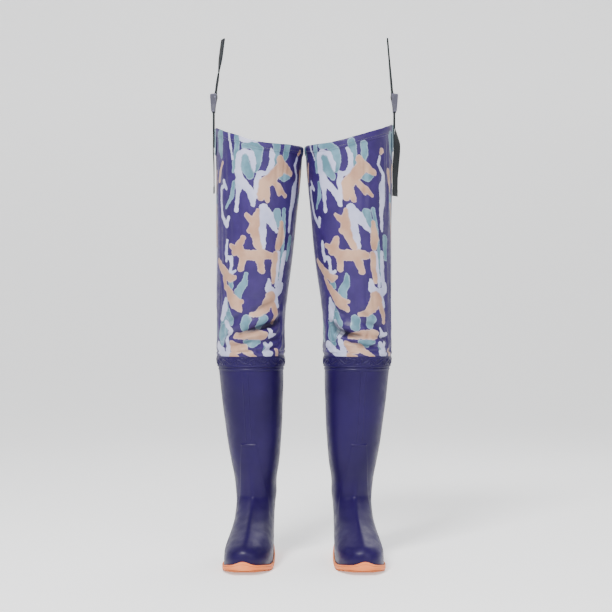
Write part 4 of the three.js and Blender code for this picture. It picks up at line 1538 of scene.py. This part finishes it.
    def finer(self, rows: Array) -> Array:
        """Rings with a smooth new point between every two, both ways.

        Args:
            rows: Points, by ring and corner.

        Returns:
            Twice as many points each way.
        """
        between = (9 * (rows + np.roll(rows, -1, 1)) - np.roll(rows, 1, 1) - np.roll(rows, -2, 1)) / 16
        wide = np.stack([rows, between], axis=2).reshape(len(rows), -1, rows.shape[2])
        before = np.concatenate([2 * wide[:1] - wide[1:2], wide, 2 * wide[-1:] - wide[-2:-1]])
        mids = (9 * (before[1:-2] + before[2:-1]) - before[:-3] - before[3:]) / 16
        tall = np.empty((2 * len(wide) - 1, *wide.shape[1:]))
        tall[::2], tall[1::2] = wide, mids
        return tall

    def marks(self, rest: Array) -> tuple[Array, Array, Array]:
        """Cloth coordinates of rings at rest.

        Args:
            rest: The rings at rest.

        Returns:
            Length round from the front line, height over the cuff, and place across the pair unrolled.
        """
        girth = self.girths(rest)
        front = rest[:, rest.shape[1] // 2, 0][:, None]
        height = rest[:, :, 2] - self.form.boot.mouth
        return girth, height, (front + girth) * (1 if self.side is Side.LEFT else -1)

    def leg(self) -> Piece:
        """The cloth tube from the cuff to the hem, printed outside and coated inside.

        Returns:
            The piece.
        """
        rest = self.form.rings(self.levels(), self.angles(self.corners), 0.0, self.side)
        shape = self.creased(rest)
        shape = self.settled(shape)
        shape, rest = self.finer(shape), self.finer(rest)
        crease = self.finer(self.crease[:, :, None])[:, :, 0]
        self.shape = shape
        inner = shape - normals_of(shape) * self.form.cloth
        rows = np.concatenate([shape, inner[::-1]])
        piece = skin_object(self.side.named("cloth_leg"), rows, self.side, joined=True)
        girth, height, unrolled = (np.concatenate([marks, marks[::-1]]) for marks in self.marks(rest))
        note(piece, "across", girth)
        note(piece, "along", height)
        self.print.dye(piece, self.side, unrolled, height)
        # crease depth, read by the print as painted shade
        note(piece, "crease", np.concatenate([crease, crease[::-1]]))
        piece.data.materials.append(self.finishes.print)
        piece.data.materials.append(self.finishes.backing)
        count = shape.shape[1]
        inside = np.zeros(len(piece.data.polygons), np.int32)
        inside[(len(shape) - 1) * count : -count] = 1
        piece.data.polygons.foreach_set("material_index", inside)
        return self.hang(piece, "camo_cloth", "knee_fabric", "thigh_fabric")

    def hang(self, piece: Piece, slot: str, *nodes: str) -> Piece:
        """Bakes a piece of the leg's place into its points, and makes it stand for its plain solids.

        Args:
            piece: The piece.
            slot: Not used.
            *nodes: The plain solids, without their side.

        Returns:
            The same piece.
        """
        if nodes:
            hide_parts(*[self.side.named(node) for node in nodes])
        names = self.side.named("boot"), self.side.named("thigh")
        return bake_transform(piece)

    def fix(self, piece: Piece, material: bpy.types.Material, slot: str, *nodes: str) -> Piece:
        """Dresses a piece near the top of the leg, which moves with the thigh.

        Args:
            piece: The piece.
            material: Its finish.
            slot: Not used.
            *nodes: The plain solids, without their side.

        Returns:
            The same piece.
        """
        piece.data.materials.append(material)
        if nodes:
            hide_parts(*[self.side.named(node) for node in nodes])
        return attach(piece, self.side.named("thigh"))

    def hem(self) -> Piece:
        """The folded hem over the leg's top edge.

        Returns:
            The piece.
        """
        angles = self.angles(288)
        gap, wall, cloth = 0.0003, 0.001, self.form.cloth
        fold = self.hem_fold
        out, back = gap + wall, -cloth - gap - wall
        profile = (
            (-fold, gap), (-fold - 0.0002, gap + wall / 2), (-fold + 0.0003, out),
            (-fold * 0.8, out + 0.0001), (-fold * 0.72, out - 0.00025), (-fold * 0.64, out + 0.0002),
            (-fold * 0.4, out + 0.0003), (-0.002, out), (0.0006, out - 0.0003), (0.0011, out - 0.001),
            (0.0011, back + 0.001), (0.0006, back + 0.0003), (-0.002, back), (-fold * 0.5, back),
            (-fold + 0.0003, back), (-fold, back + wall / 2), (-fold, back + wall),
            (-fold * 0.5, back + wall), (-0.0005, back + wall), (0.0003, back + wall + 0.0005),
            (0.0003, gap - 0.0004), (-0.0005, gap), (-fold * 0.5, gap),
        )
        depth = np.array([rise for rise, _ in profile])
        level = self.form.hem_low + np.minimum(depth, 0)
        distance = np.array([place for _, place in profile])
        rows = self.form.rings(level, angles, distance, self.side, np.maximum(depth, 0))
        wave = 0.0006 * unevenness(rows[:, :, 0] * 2, rows[:, :, 1] * 2, 0.05, 7)
        rows[:, :, 2] += wave.mean(axis=0)[None, :]
        piece = skin_object(self.side.named("hem"), rows[::-1], self.side, joined=True)
        rest = self.form.rings(level, angles, 0.0, self.side)
        girth, height, unrolled = self.marks(rest[::-1])
        note(piece, "across", girth)
        note(piece, "along", height)
        self.print.dye(piece, self.side, unrolled, height)
        return self.fix_print(piece)

    def fix_print(self, piece: Piece) -> Piece:
        """Dresses the hem in the printed cloth."""
        return self.fix(piece, self.finishes.print, "camo_cloth", "top_hem")

    def on_leg(self, angle: Array, below: Array, outside: float) -> Array:
        """Points over the leg near its hem.

        Args:
            angle: Angles round the leg.
            below: Depth of each point under the hem's edge.
            outside: How far they stand outside the cloth.

        Returns:
            The points, with the shape of angle and below together.
        """
        angle, below = np.broadcast_arrays(angle, below)
        points = []
        for a, b in zip(angle.ravel(), below.ravel()):
            level = np.array([self.form.hem_low - b])
            points.append(self.form.rings(level, np.array([a]), outside, self.side)[0, 0])
        return np.array(points).reshape(*angle.shape, 3)

    def stitches(self, name: str, path: Array, outward: Array, length: float, pitch: float) -> Piece:
        """A row of thread stitches along a path.

        Args:
            name: The piece's name.
            path: Points along the seam.
            outward: The cloth's outward direction at each point.
            length: Length of each stitch.
            pitch: Distance from one stitch to the next.

        Returns:
            One object holding every stitch.
        """
        steps = np.concatenate([[0], np.cumsum(np.linalg.norm(np.diff(path, axis=0), axis=1))])
        parts = []
        for start in np.arange(pitch / 2, steps[-1] - length, pitch):
            at = start + length * np.linspace(0, 1, 5)
            line = np.stack([np.interp(at, steps, path[:, k]) for k in range(3)], axis=1)
            up = np.stack([np.interp(at, steps, outward[:, k]) for k in range(3)], axis=1)
            along = np.gradient(line, axis=0)
            along /= np.linalg.norm(along, axis=1, keepdims=True)
            up /= np.linalg.norm(up, axis=1, keepdims=True)
            cross = np.cross(along, up)
            radius = 0.00032 * np.array([0.45, 0.9, 1.0, 0.9, 0.45])[:, None]
            rise = 0.0003 * np.array([-0.6, 0.6, 1.0, 0.6, -0.6])[:, None]
            middle = line + up * rise
            turns = np.linspace(0, 2 * np.pi, 7)[:-1]
            round_it = [middle + radius * (up * np.sin(t) + cross * np.cos(t)) for t in turns]
            rows = np.stack(round_it, axis=1)
            parts.append((rows, ring_faces(5, 6, capped=True)))
        return joined_object(name, parts, self.side)

    def hem_stitches(self) -> Piece:
        """The line of stitches that holds the hem's fold.

        Returns:
            The piece.
        """
        angles = self.angles(241)
        path = self.on_leg(angles, np.full(241, self.hem_fold * 0.72), 0.00125)
        outward = np.stack([np.cos(angles), np.sin(angles), 0 * angles], axis=1)
        piece = self.stitches(self.side.named("hem_stitching"), path, outward, 0.0026, 0.0036)
        return self.fix(piece, self.finishes.dark_thread, "camo_cloth")

    def tape(self) -> Piece:
        """The tape welded inside along the back seam.

        Returns:
            The piece.
        """
        count = self.shape.shape[1]
        columns = np.arange(-6, 7)
        face = self.shape[:, columns % count]
        normal = normals_of(self.shape)[:, columns % count]
        start = int(np.argmax(self.shape[:, 0, 2] > self.form.boot.mouth + 0.01))
        stop = len(face) - round(self.hem_fold / self.row_pitch * 2) - 2
        near = (face - normal * (self.form.cloth + 0.0003))[start:stop]
        far = (face - normal * (self.form.cloth + 0.0008))[start:stop]
        rows = np.concatenate([near, far[:, ::-1]], axis=1)
        piece = skin_object(self.side.named("back_seam_tape"), rows[::-1], self.side, capped=True)
        across = np.concatenate([columns, columns[::-1]]) * 0.002
        note(piece, "across", np.broadcast_to(across, rows.shape[:2]))
        note(piece, "along", rows[:, :, 2])
        piece.data.materials.append(self.finishes.tape)
        return self.hang(piece, "seam_tape", "knee_seam_tape", "thigh_seam_tape")

    def seam(self) -> Piece:
        """The lapped back seam, a narrow doubled strip down the outside of the leg.

        Returns:
            The piece.
        """
        count = self.shape.shape[1]
        columns = np.arange(-3, 4)
        start = int(np.argmax(self.shape[:, 0, 2] > self.form.boot.mouth + 0.004))
        stop = len(self.shape) - round(self.hem_fold / self.row_pitch * 2) - 1
        face = self.shape[start:stop, columns % count]
        normal = normals_of(self.shape)[start:stop, columns % count]
        height = 0.0007 * np.array([0.2, 0.9, 1, 1, 1, 0.9, 0.2])[None, :, None]
        outer = face + normal * height
        inner = face - normal * 0.0002
        rows = np.concatenate([outer, inner[:, ::-1]], axis=1)
        piece = skin_object(self.side.named("back_seam"), rows, self.side, capped=True)
        rest = self.finer(self.form.rings(self.levels(), self.angles(self.corners), 0.0, self.side))
        strips = (marks[start:stop, columns % count] for marks in self.marks(rest))
        girth, up, unrolled = (np.concatenate([strip, strip[:, ::-1]], axis=1) for strip in strips)
        note(piece, "across", girth)
        note(piece, "along", up)
        self.print.dye(piece, self.side, unrolled, up)
        piece.data.materials.append(self.finishes.print)
        return self.hang(piece, "camo_cloth")

    def patch_outline(self, inset: float, outside: float) -> tuple[Array, Array]:
        """A rounded outline on the leg's outer side, as points and outward directions.

        Args:
            inset: How far inside the patch's edge.
            outside: How far outside the cloth.

        Returns:
            The points and the outward directions.
        """
        low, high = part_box("left_corner_patch")
        half = (high.y - low.y) / 2 - 0.001 - inset
        tall = 0.046 - 2 * inset
        radius = 0.008 - inset / 2
        turns = np.linspace(0, 2 * np.pi, 97)
        c, s = np.cos(turns), np.sin(turns)
        u = (half - radius) * np.sign(np.round(c, 6)) + radius * c
        v = (tall / 2 - radius) * np.sign(np.round(s, 6)) + radius * s
        angle = u / (self.form.top_depth / 2)
        points = self.on_leg(angle, 0.023 - v, outside)
        return points, np.stack([np.cos(angle), np.sin(angle), 0 * angle], axis=1)

    def patch(self) -> Piece:
        """The doubled corner under the strap.

        Returns:
            The piece.
        """
        rings = []
        for inset, outside in (
            (0.0, 0.0013), (0.0, 0.0020), (0.0006, 0.0023), (0.004, 0.0024), (0.010, 0.0024), (0.016, 0.0024),
        ):
            rings.append(self.patch_outline(inset, outside)[0][:-1])
        rows = np.array(rings)
        piece = skin_object(self.side.named("corner_doubler"), rows, self.side, capped=True)
        note(piece, "across", rows[:, :, 1])
        note(piece, "along", rows[:, :, 2])
        return self.fix(piece, self.finishes.patch, "patch_cloth", "corner_patch")

    def patch_stitches(self) -> Piece:
        """Stitches round the corner patch.

        Returns:
            The piece.
        """
        path, outward = self.patch_outline(0.0028, 0.0025)
        piece = self.stitches(self.side.named("patch_stitching"), path, outward, 0.0024, 0.0034)
        return self.fix(piece, self.finishes.light_thread, "patch_cloth")


# ---------------------------------------------------------------- the strap


@dataclass
class HipStrap:
    """The strap on one hip: adjustable webbing, ladder lock, belt loop and free tail."""

    form: LegForm
    finishes: Finishes
    side: Side
    width: float = 0.025
    wall: float = 0.0015
    wrap: float = 0.00265
    bar: float = 0.0016
    lean: float = math.radians(4.9)
    tail_lengths: Pair = (0.140, 0.134)  # left and right
    loop_length: float = 0.121
    # degrees, left and right
    loop_turns: Pair = (3.0, 17.0)
    loop_leans: Pair = (0.0, 2.4)
    twists: Pair = (35.0, 7.0)
    drifts: Pair = (0.0050, 0.0026)

    def __post_init__(self) -> None:
        """Takes the strap's places from the frame."""
        anchor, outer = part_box("left_strap_anchor"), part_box("left_neck_outer_webbing")
        self.anchor_x = (anchor[0].x + anchor[1].x) / 2
        self.outer_x = (outer[0].x + outer[1].x) / 2
        self.neck_x = (self.anchor_x + self.outer_x) / 2
        self.low, self.hem = anchor[0].z, outer[0].z
        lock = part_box("left_ladder_lock")
        self.lock_low, self.lock_high = lock[0].z, lock[1].z
        self.grip_z = self.lock_low + 0.012
        self.loop_bar = (self.neck_x - 0.0035, self.lock_low + 0.029)
        self.y = (anchor[0].y + anchor[1].y) / 2

    def build(self) -> int:
        """Builds and dresses every piece, and gives how many there are.

        Returns:
            How many pieces there are.
        """
        pieces = [self.webbing(), self.lock(), self.loop(), self.loop_stitches()]
        pieces += [self.tail(), self.anchor_stitches()]
        return len(pieces)

    def ribbon(
        self, name: str, line: Array, face: Array, closed: bool = False, wall: Array | float = 0.0
    ) -> Piece:
        """A strap with rounded edges along a line.

        Args:
            name: The piece's name.
            line: Points down its middle.
            face: The direction of its width at each point.
            closed: Whether its ends meet.
            wall: Extra thickness at each point.

        Returns:
            The strap, with its own width and length coordinates kept on it.
        """
        if closed:
            along = np.roll(line, -1, 0) - np.roll(line, 1, 0)
        else:
            along = np.gradient(line, axis=0)
        along /= np.linalg.norm(along, axis=1, keepdims=True)
        face = face / np.linalg.norm(face, axis=1, keepdims=True)
        thick = np.cross(along, face)
        half, depth = self.width / 2, (self.wall + np.broadcast_to(wall, len(line))) / 2
        spots = [(-1, 0), (-0.985, 0.62), (-0.93, 0.94), (-0.6, 1), (-0.2, 1)]
        spots += [(0.2, 1), (0.6, 1), (0.93, 0.94), (0.985, 0.62)]
        spots += [(-a, -b) for a, b in spots]
        rows = np.stack(
            [line + face * half * a + thick * (depth * b)[:, None] for a, b in spots], axis=1
        )
        steps = np.concatenate([[0], np.cumsum(np.linalg.norm(np.diff(line, axis=0), axis=1))])
        piece = skin_object(name, rows[:, ::-1], self.side, joined=closed, capped=not closed)
        note(piece, "across", np.broadcast_to([half * a for a, _ in spots][::-1], rows.shape[:2]))
        note(piece, "along", np.broadcast_to(steps[:, None], rows.shape[:2]))
        piece.data.materials.append(self.finishes.webbing)
        return piece

    def flat_ribbon(self, name: str, places: Sequence[Pair], closed: bool = False) -> Piece:
        """A strap through places across and up, its width along the leg's depth.

        Args:
            name: The piece's name.
            places: Places across and up.
            closed: Whether its ends meet.

        Returns:
            The strap.
        """
        points = np.array([(x, self.y, z) for x, z in places])
        if closed:
            points = np.concatenate([points, points[:1]])
        steps = np.concatenate([[0], np.cumsum(np.linalg.norm(np.diff(points, axis=0), axis=1))])
        at = np.linspace(0, steps[-1], max(12, round(steps[-1] / 0.0012)))
        line = np.stack([np.interp(at, steps, points[:, k]) for k in range(3)], axis=1)
        if closed:
            line = line[:-1]
            line = (line + np.roll(line, 1, 0) + np.roll(line, -1, 0)) / 3
        else:
            line[1:-1] = (line[:-2] + line[1:-1] + line[2:]) / 3
        return self.ribbon(name, line, np.broadcast_to((0.0, 1.0, 0.0), line.shape), closed)

    def arc(self, x: float, z: float, radius: float, start: float, end: float, steps: int = 10) -> list[Pair]:
        """Places round an arc, from one angle to another in degrees from outwards."""
        angles = np.radians(np.linspace(start, end, steps + 1))
        return [(x + radius * math.cos(a), z + radius * math.sin(a)) for a in angles]

    def webbing(self) -> Piece:
        """The strap from its sewn foot up through the lock and down to the hem again.

        Returns:
            The piece.
        """
        lead = 0.0025
        places = [(self.anchor_x, self.low), (self.anchor_x, self.lock_low + lead)]
        places += self.arc(self.neck_x, self.grip_z, self.wrap, 180, 0)
        places += [(self.outer_x, self.lock_low + lead), (self.outer_x, self.hem)]
        piece = self.flat_ribbon(self.side.named("adjusting_strap"), places)
        names = ("strap_anchor", "neck_inner_webbing", "neck_outer_webbing", "strap_turn")
        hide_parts(*[self.side.named(name) for name in names])
        bodies = self.side.named("thigh"), self.side.named("buckle")
        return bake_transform(piece)

    def rod(self, x: float, z: float, half: float, radius: float, ribs: float = 0.0) -> Mesh:
        """A round bar across the lock, ribbed if asked.

        Args:
            x: Its place across.
            z: Its height.
            half: Half its length.
            radius: Its radius.
            ribs: Height of the ribs as a share of the radius.

        Returns:
            Points and faces.
        """
        turns = np.linspace(0, 2 * np.pi, 33)[:-1]
        spread = radius * (1 + ribs * np.cos(turns * 8))
        ring = np.stack([x + spread * np.cos(turns), np.full(32, self.y), z + spread * np.sin(turns)], axis=1)
        rows = np.stack([ring + (0, place, 0) for place in (half, -half)])
        return rows, ring_faces(2, 32, capped=True)

    def block(self, low: Sequence[float], high: Sequence[float]) -> Mesh:
        """A brick between two corners.

        Args:
            low: The lowest corner.
            high: The highest corner.

        Returns:
            Points and faces.
        """
        ring = [(low[0], low[1]), (high[0], low[1]), (high[0], high[1]), (low[0], high[1])]
        rows = np.array([[(x, y, z) for x, y in ring] for z in (low[2], high[2])])
        return rows, ring_faces(2, 4, capped=True)

    def rail(self, start: float, end: float) -> Mesh:
        """One wedge-shaped cheek of the lock, with a shallow dished outside.

        Args:
            start: Its inner face, from the strap's middle.
            end: Its outer face.

        Returns:
            Points and faces.
        """
        height = self.lock_high - self.lock_low
        outline = [(-2.4, 0), (4.4, 0), (7.0, 31.5), (6.2, 35)]
        outline += [(-4.6, 36), (-6.4, 33.5), (-5.9, 27), (-3.2, 12)]
        scale = height / 0.036 / 1000
        ring = np.array([(self.neck_x + x * scale, 0.0, self.lock_low + z * scale) for x, z in outline])
        middle = ring.mean(axis=0)
        out = 1 if end > start else -1
        rows = [ring + (0, self.y + start, 0), ring + (0, self.y + end, 0)]
        rows.append(middle + (ring - middle) * 0.72 + (0, self.y + end, 0))
        rows.append(middle + (ring - middle) * 0.62 + (0, self.y + end - out * 0.0006, 0))
        stacked = np.stack(rows if out < 0 else [row[::-1] for row in rows])
        return stacked, ring_faces(4, len(outline), capped=True)

    def lock(self) -> Piece:
        """The ladder lock, a frame of two cheeks and two bars with a ribbed lip.

        Returns:
            The piece.
        """
        inside = self.width / 2 + 0.0007
        outside = inside + 0.0025
        lip_x = self.neck_x + self.wrap + self.wall / 2 + 0.0004
        parts = [
            self.rail(inside, outside),
            self.rail(-inside, -outside),
            self.rod(self.neck_x, self.grip_z, outside - 0.0005, self.bar, 0.05),
            self.rod(*self.loop_bar, outside - 0.0005, self.bar),
        ]
        half = outside - 0.0006
        ribs = [(0.0011, 0.0051, 0.0007)]
        ribs += [(foot, foot + 0.0004, 0.0011) for foot in (0.0018, 0.003, 0.0041)]
        for foot, top, reach in ribs:
            low = (lip_x, self.y - half, self.lock_low + foot)
            parts.append(self.block(low, (lip_x + reach, self.y + half, self.lock_low + top)))
        piece = joined_object(self.side.named("ladder_lock_frame"), parts, self.side)
        piece.data.materials.append(self.finishes.buckle)
        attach(rounded(piece, 0.00045, 3), self.side.named("buckle"))
        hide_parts(self.side.named("ladder_lock"))
        return piece

    def loop_half(self, height: Array) -> Array:
        """Half the gap between the belt loop's two layers at a height over its bar."""
        return 0.0009 + (self.wrap - 0.0009) * step(height, 0.012, 0.002)

    def loop_points(self, off: Array, height: Array) -> tuple[Array, Array]:
        """Points on the belt loop, which leans inward and turns a little as it rises.

        Args:
            off: How far each point is out from the loop's middle.
            height: How far up from its bar.

        Returns:
            The points and the direction of the webbing's width at each.
        """
        number = 0 if self.side is Side.LEFT else 1
        turn = math.radians(self.loop_turns[number]) * step(height, 0.034, 0.085)
        lean = self.lean + math.radians(self.loop_leans[number]) * step(height, 0.0, 0.05)
        out = np.stack([np.cos(lean), 0 * lean, np.sin(lean)], axis=1)
        up = np.stack([-np.sin(lean), 0 * lean, np.cos(lean)], axis=1)
        depth = np.array((0.0, 1.0, 0.0))
        c, s = np.cos(turn)[:, None], np.sin(turn)[:, None]
        start = np.array((self.loop_bar[0], self.y, self.loop_bar[1]))
        points = start + up * height[:, None] + (out * c - depth * s) * off[:, None]
        return points, depth * c + out * s

    def loop(self) -> Piece:
        """The belt loop: round the bar, up in two layers that lie nearly together, and round its top.

        Returns:
            The piece.
        """
        tip = float(self.loop_half(np.array(self.loop_length)))
        rise = self.loop_length - self.wrap - tip
        heights = np.linspace(0.0012, rise - 0.0012, 90)
        sides = list(zip(self.loop_half(heights), heights))
        outline = self.arc(0, 0, self.wrap, 180, 360) + sides + self.arc(0, rise, tip, 0, 180)
        outline += [(-off, height) for off, height in reversed(sides)]
        off, height = np.array(outline).T
        line, face = self.loop_points(off, height)
        piece = self.ribbon(self.side.named("waist_loop"), line, face, closed=True)
        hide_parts(self.side.named("belt_loop"))
        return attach(piece, self.side.named("loop"))

    def bartack(self, centre: Vector, along: Vector, across: Vector, out: Vector) -> Mesh:
        """A dense bar of zigzag thread.

        Args:
            centre: Its middle, on the webbing's face.
            along: The webbing's direction.
            across: The bar's direction.
            out: The face's direction.

        Returns:
            Points and faces of one long zigzag thread.
        """
        count, half, pitch, radius = 34, 0.0085, 0.00052, 0.00026
        line = []
        for i in range(count):
            place = across * (-half + i * pitch) + along * (0.0012 if i % 2 else -0.0012)
            line.append(centre + place + out * radius * 0.7)
        rows = []
        for i, p in enumerate(line):
            ahead = (line[min(i + 1, count - 1)] - line[max(i - 1, 0)]).normalized()
            flat = ahead.cross(out).normalized()
            turns = np.linspace(0, 2 * np.pi, 7)[:-1]
            rows.append([tuple(p + radius * (math.cos(t) * out + math.sin(t) * flat)) for t in turns])
        return np.array(rows), ring_faces(count, 6, capped=True)

    def tacks(self, name: str, spots: Sequence[tuple[float, float, float]], body: str) -> Piece:
        """Bartacks across the strap at places across and up, each with the way its face leans in radians.

        Args:
            name: The piece's name.
            spots: Place across, height and lean of each.
            body: What they ride on.

        Returns:
            The piece.
        """
        parts = []
        for x, z, tilt in spots:
            along = Vector((math.sin(tilt), 0, math.cos(tilt)))
            out = Vector((math.cos(tilt), 0, -math.sin(tilt)))
            parts.append(self.bartack(Vector((x, self.y, z)), along, Vector((0, 1, 0)), out))
        piece = joined_object(self.side.named(name), parts, self.side)
        piece.data.materials.append(self.finishes.light_thread)
        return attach(piece, self.side.named(body))

    def loop_stitches(self) -> Piece:
        """The bartacks that close the loop just above the lock.

        Returns:
            The piece.
        """
        heights = np.array((0.024, 0.032))
        points, _ = self.loop_points(self.loop_half(heights) + self.wall / 2 + 0.00005, heights)
        spots = [(x, z, -self.lean) for x, _, z in points]
        return self.tacks("loop_bartacks", spots, "loop")

    def anchor_stitches(self) -> Piece:
        """The bartacks that hold the strap's foot to the leg, outside the tail's path.

        Returns:
            The piece.
        """
        edge = self.anchor_x + self.wall / 2
        spots = [(edge - 0.0001, self.low + 0.004, 0.0), (edge - 0.0001, self.low + 0.030, 0.0)]
        return self.tacks("anchor_bartacks", spots, "thigh")

    def tail(self) -> Piece:
        """The free tail, turning a little as it hangs, with its end folded and sewn.

        Returns:
            The piece.
        """
        number = 0 if self.side is Side.LEFT else 1
        share = np.linspace(0, 1, 80)
        swell = flowing((0, 0.12, 0.28, 0.55, 0.75, 1), (0, 0.45, 1, 0.95, 0.8, 0.75), share)
        turn = np.radians(self.twists[number] * swell)
        stand = self.width / 2 * np.sin(turn) + self.wall * (1 - np.cos(turn))
        stand -= self.drifts[number] * (0.6 * step(share, 0.05, 0.3) + 0.4 * step(share, 0.32, 0.6))
        top = self.hem - 0.0003
        fall = self.tail_lengths[number] * share
        line = np.stack([self.outer_x + stand, np.full(80, self.y), top - fall], axis=1)
        face = np.stack([np.sin(turn), np.cos(turn), 0 * turn], axis=1)
        folded = 0.0011 * step(share, 0.895, 0.905)
        piece = self.ribbon(self.side.named("free_tail"), line, -face, wall=folded)
        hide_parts(self.side.named("strap_tail"))
        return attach(piece, self.side.named("tail"))


# ---------------------------------------------------------------- studio


@dataclass
class Studio:
    """A plain pale floor, soft light and the camera."""

    camera_distance: float = 2.9
    camera_height: float = 0.501
    camera_across: float = 0.004
    lens: float = 85.1

    def build(self, leg_y: float) -> None:
        """Sets up the floor, lights and camera, the camera facing the legs at leg_y.

        Args:
            leg_y: Where the legs stand in depth.
        """
        self.floor()
        self.light("key", (-0.9, -2.2, 2.8), (0, 0.05, 0.4), 170, 0.8)
        self.light("fill", (1.6, -2.6, 1.5), (0, 0.05, 0.45), 30, 1.4)
        self.light("rim", (0.6, 1.6, 2.0), (0, 0, 0.6), 20, 1.4)
        world = bpy.data.worlds.new("studio air")
        bpy.context.scene.world = world
        world.use_nodes = True
        air = world.node_tree.nodes["Background"]
        air.inputs["Color"].default_value = (0.97, 0.98, 1.0, 1)
        air.inputs["Strength"].default_value = 0.42
        lens = bpy.data.cameras.new("camera")
        lens.lens = self.lens
        lens.sensor_width = 36
        lens.clip_start = 0.05
        camera = bpy.data.objects.new("camera", lens)
        camera.location = (self.camera_across, leg_y - self.camera_distance, self.camera_height)
        camera.rotation_euler = (math.pi / 2, 0, 0)
        bpy.context.scene.collection.objects.link(camera)
        bpy.context.scene.camera = camera

    def floor(self) -> None:
        """The floor, which curves up into a backdrop far behind."""
        width, front, back, height, radius = 24.0, -20.0, 4.5, 12.0, 1.6
        profile = [(front, 0.0), (back - radius, 0.0)]
        profile += [
            (back - radius + radius * math.sin(a), radius - radius * math.cos(a))
            for a in np.linspace(0.1, math.pi / 2, 14)
        ]
        profile.append((back, height))
        points = [(x, y, z) for y, z in profile for x in (-width, width)]
        faces = [(2 * i, 2 * i + 1, 2 * i + 3, 2 * i + 2) for i in range(len(profile) - 1)]
        floor = new_object("floor", np.array(points), faces)
        sheet = Sheet("floor paper")
        tone = sheet.noise(sheet.own_place(), 1.2, 2.0)
        shade = sheet.mix(tone, (0.86, 0.86, 0.87, 1), (0.9, 0.9, 0.9, 1))
        paper = sheet.finish(
            Base_Color=shade, Roughness=0.9, Emission_Color=(1, 1, 1, 1), Emission_Strength=0.55
        )
        floor.data.materials.append(paper)

    def light(
        self, name: str, place: Sequence[float], target: Sequence[float], power: float, size: float
    ) -> None:
        """A soft area light at a place, turned to a target.

        Args:
            name: Its name.
            place: Where it hangs.
            target: What it is turned to.
            power: Watts.
            size: Its width.
        """
        lamp = bpy.data.lights.new(name, "AREA")
        lamp.energy, lamp.size = power, size
        body = bpy.data.objects.new(name, lamp)
        body.location = place
        body.rotation_euler = (Vector(target) - Vector(place)).to_track_quat("-Z", "Y").to_euler()
        bpy.context.scene.collection.objects.link(body)


# ---------------------------------------------------------------- main


def main() -> None:
    """Builds both waders and the studio, and logs how many pieces each part has."""
    logging.basicConfig(level=logging.INFO, format="%(name)s: %(message)s")
    boot_form = BootForm()
    leg_form = LegForm(boot_form)
    camo = CamoPrint()
    finishes = Finishes()
    Studio().build(boot_form.leg_y)
    for side in Side:
        parts: tuple[tuple[str, Callable[[], int]], ...] = (
            ("boot", Boot(boot_form, finishes, side).build),
            ("cloth leg", ClothLeg(leg_form, camo, finishes, side).build),
            ("hip strap", HipStrap(leg_form, finishes, side).build),
        )
        for name, build in parts:
            log.info("%s %s: %d pieces", side.name.lower(), name, build())


if __name__ == "__main__":
    main()
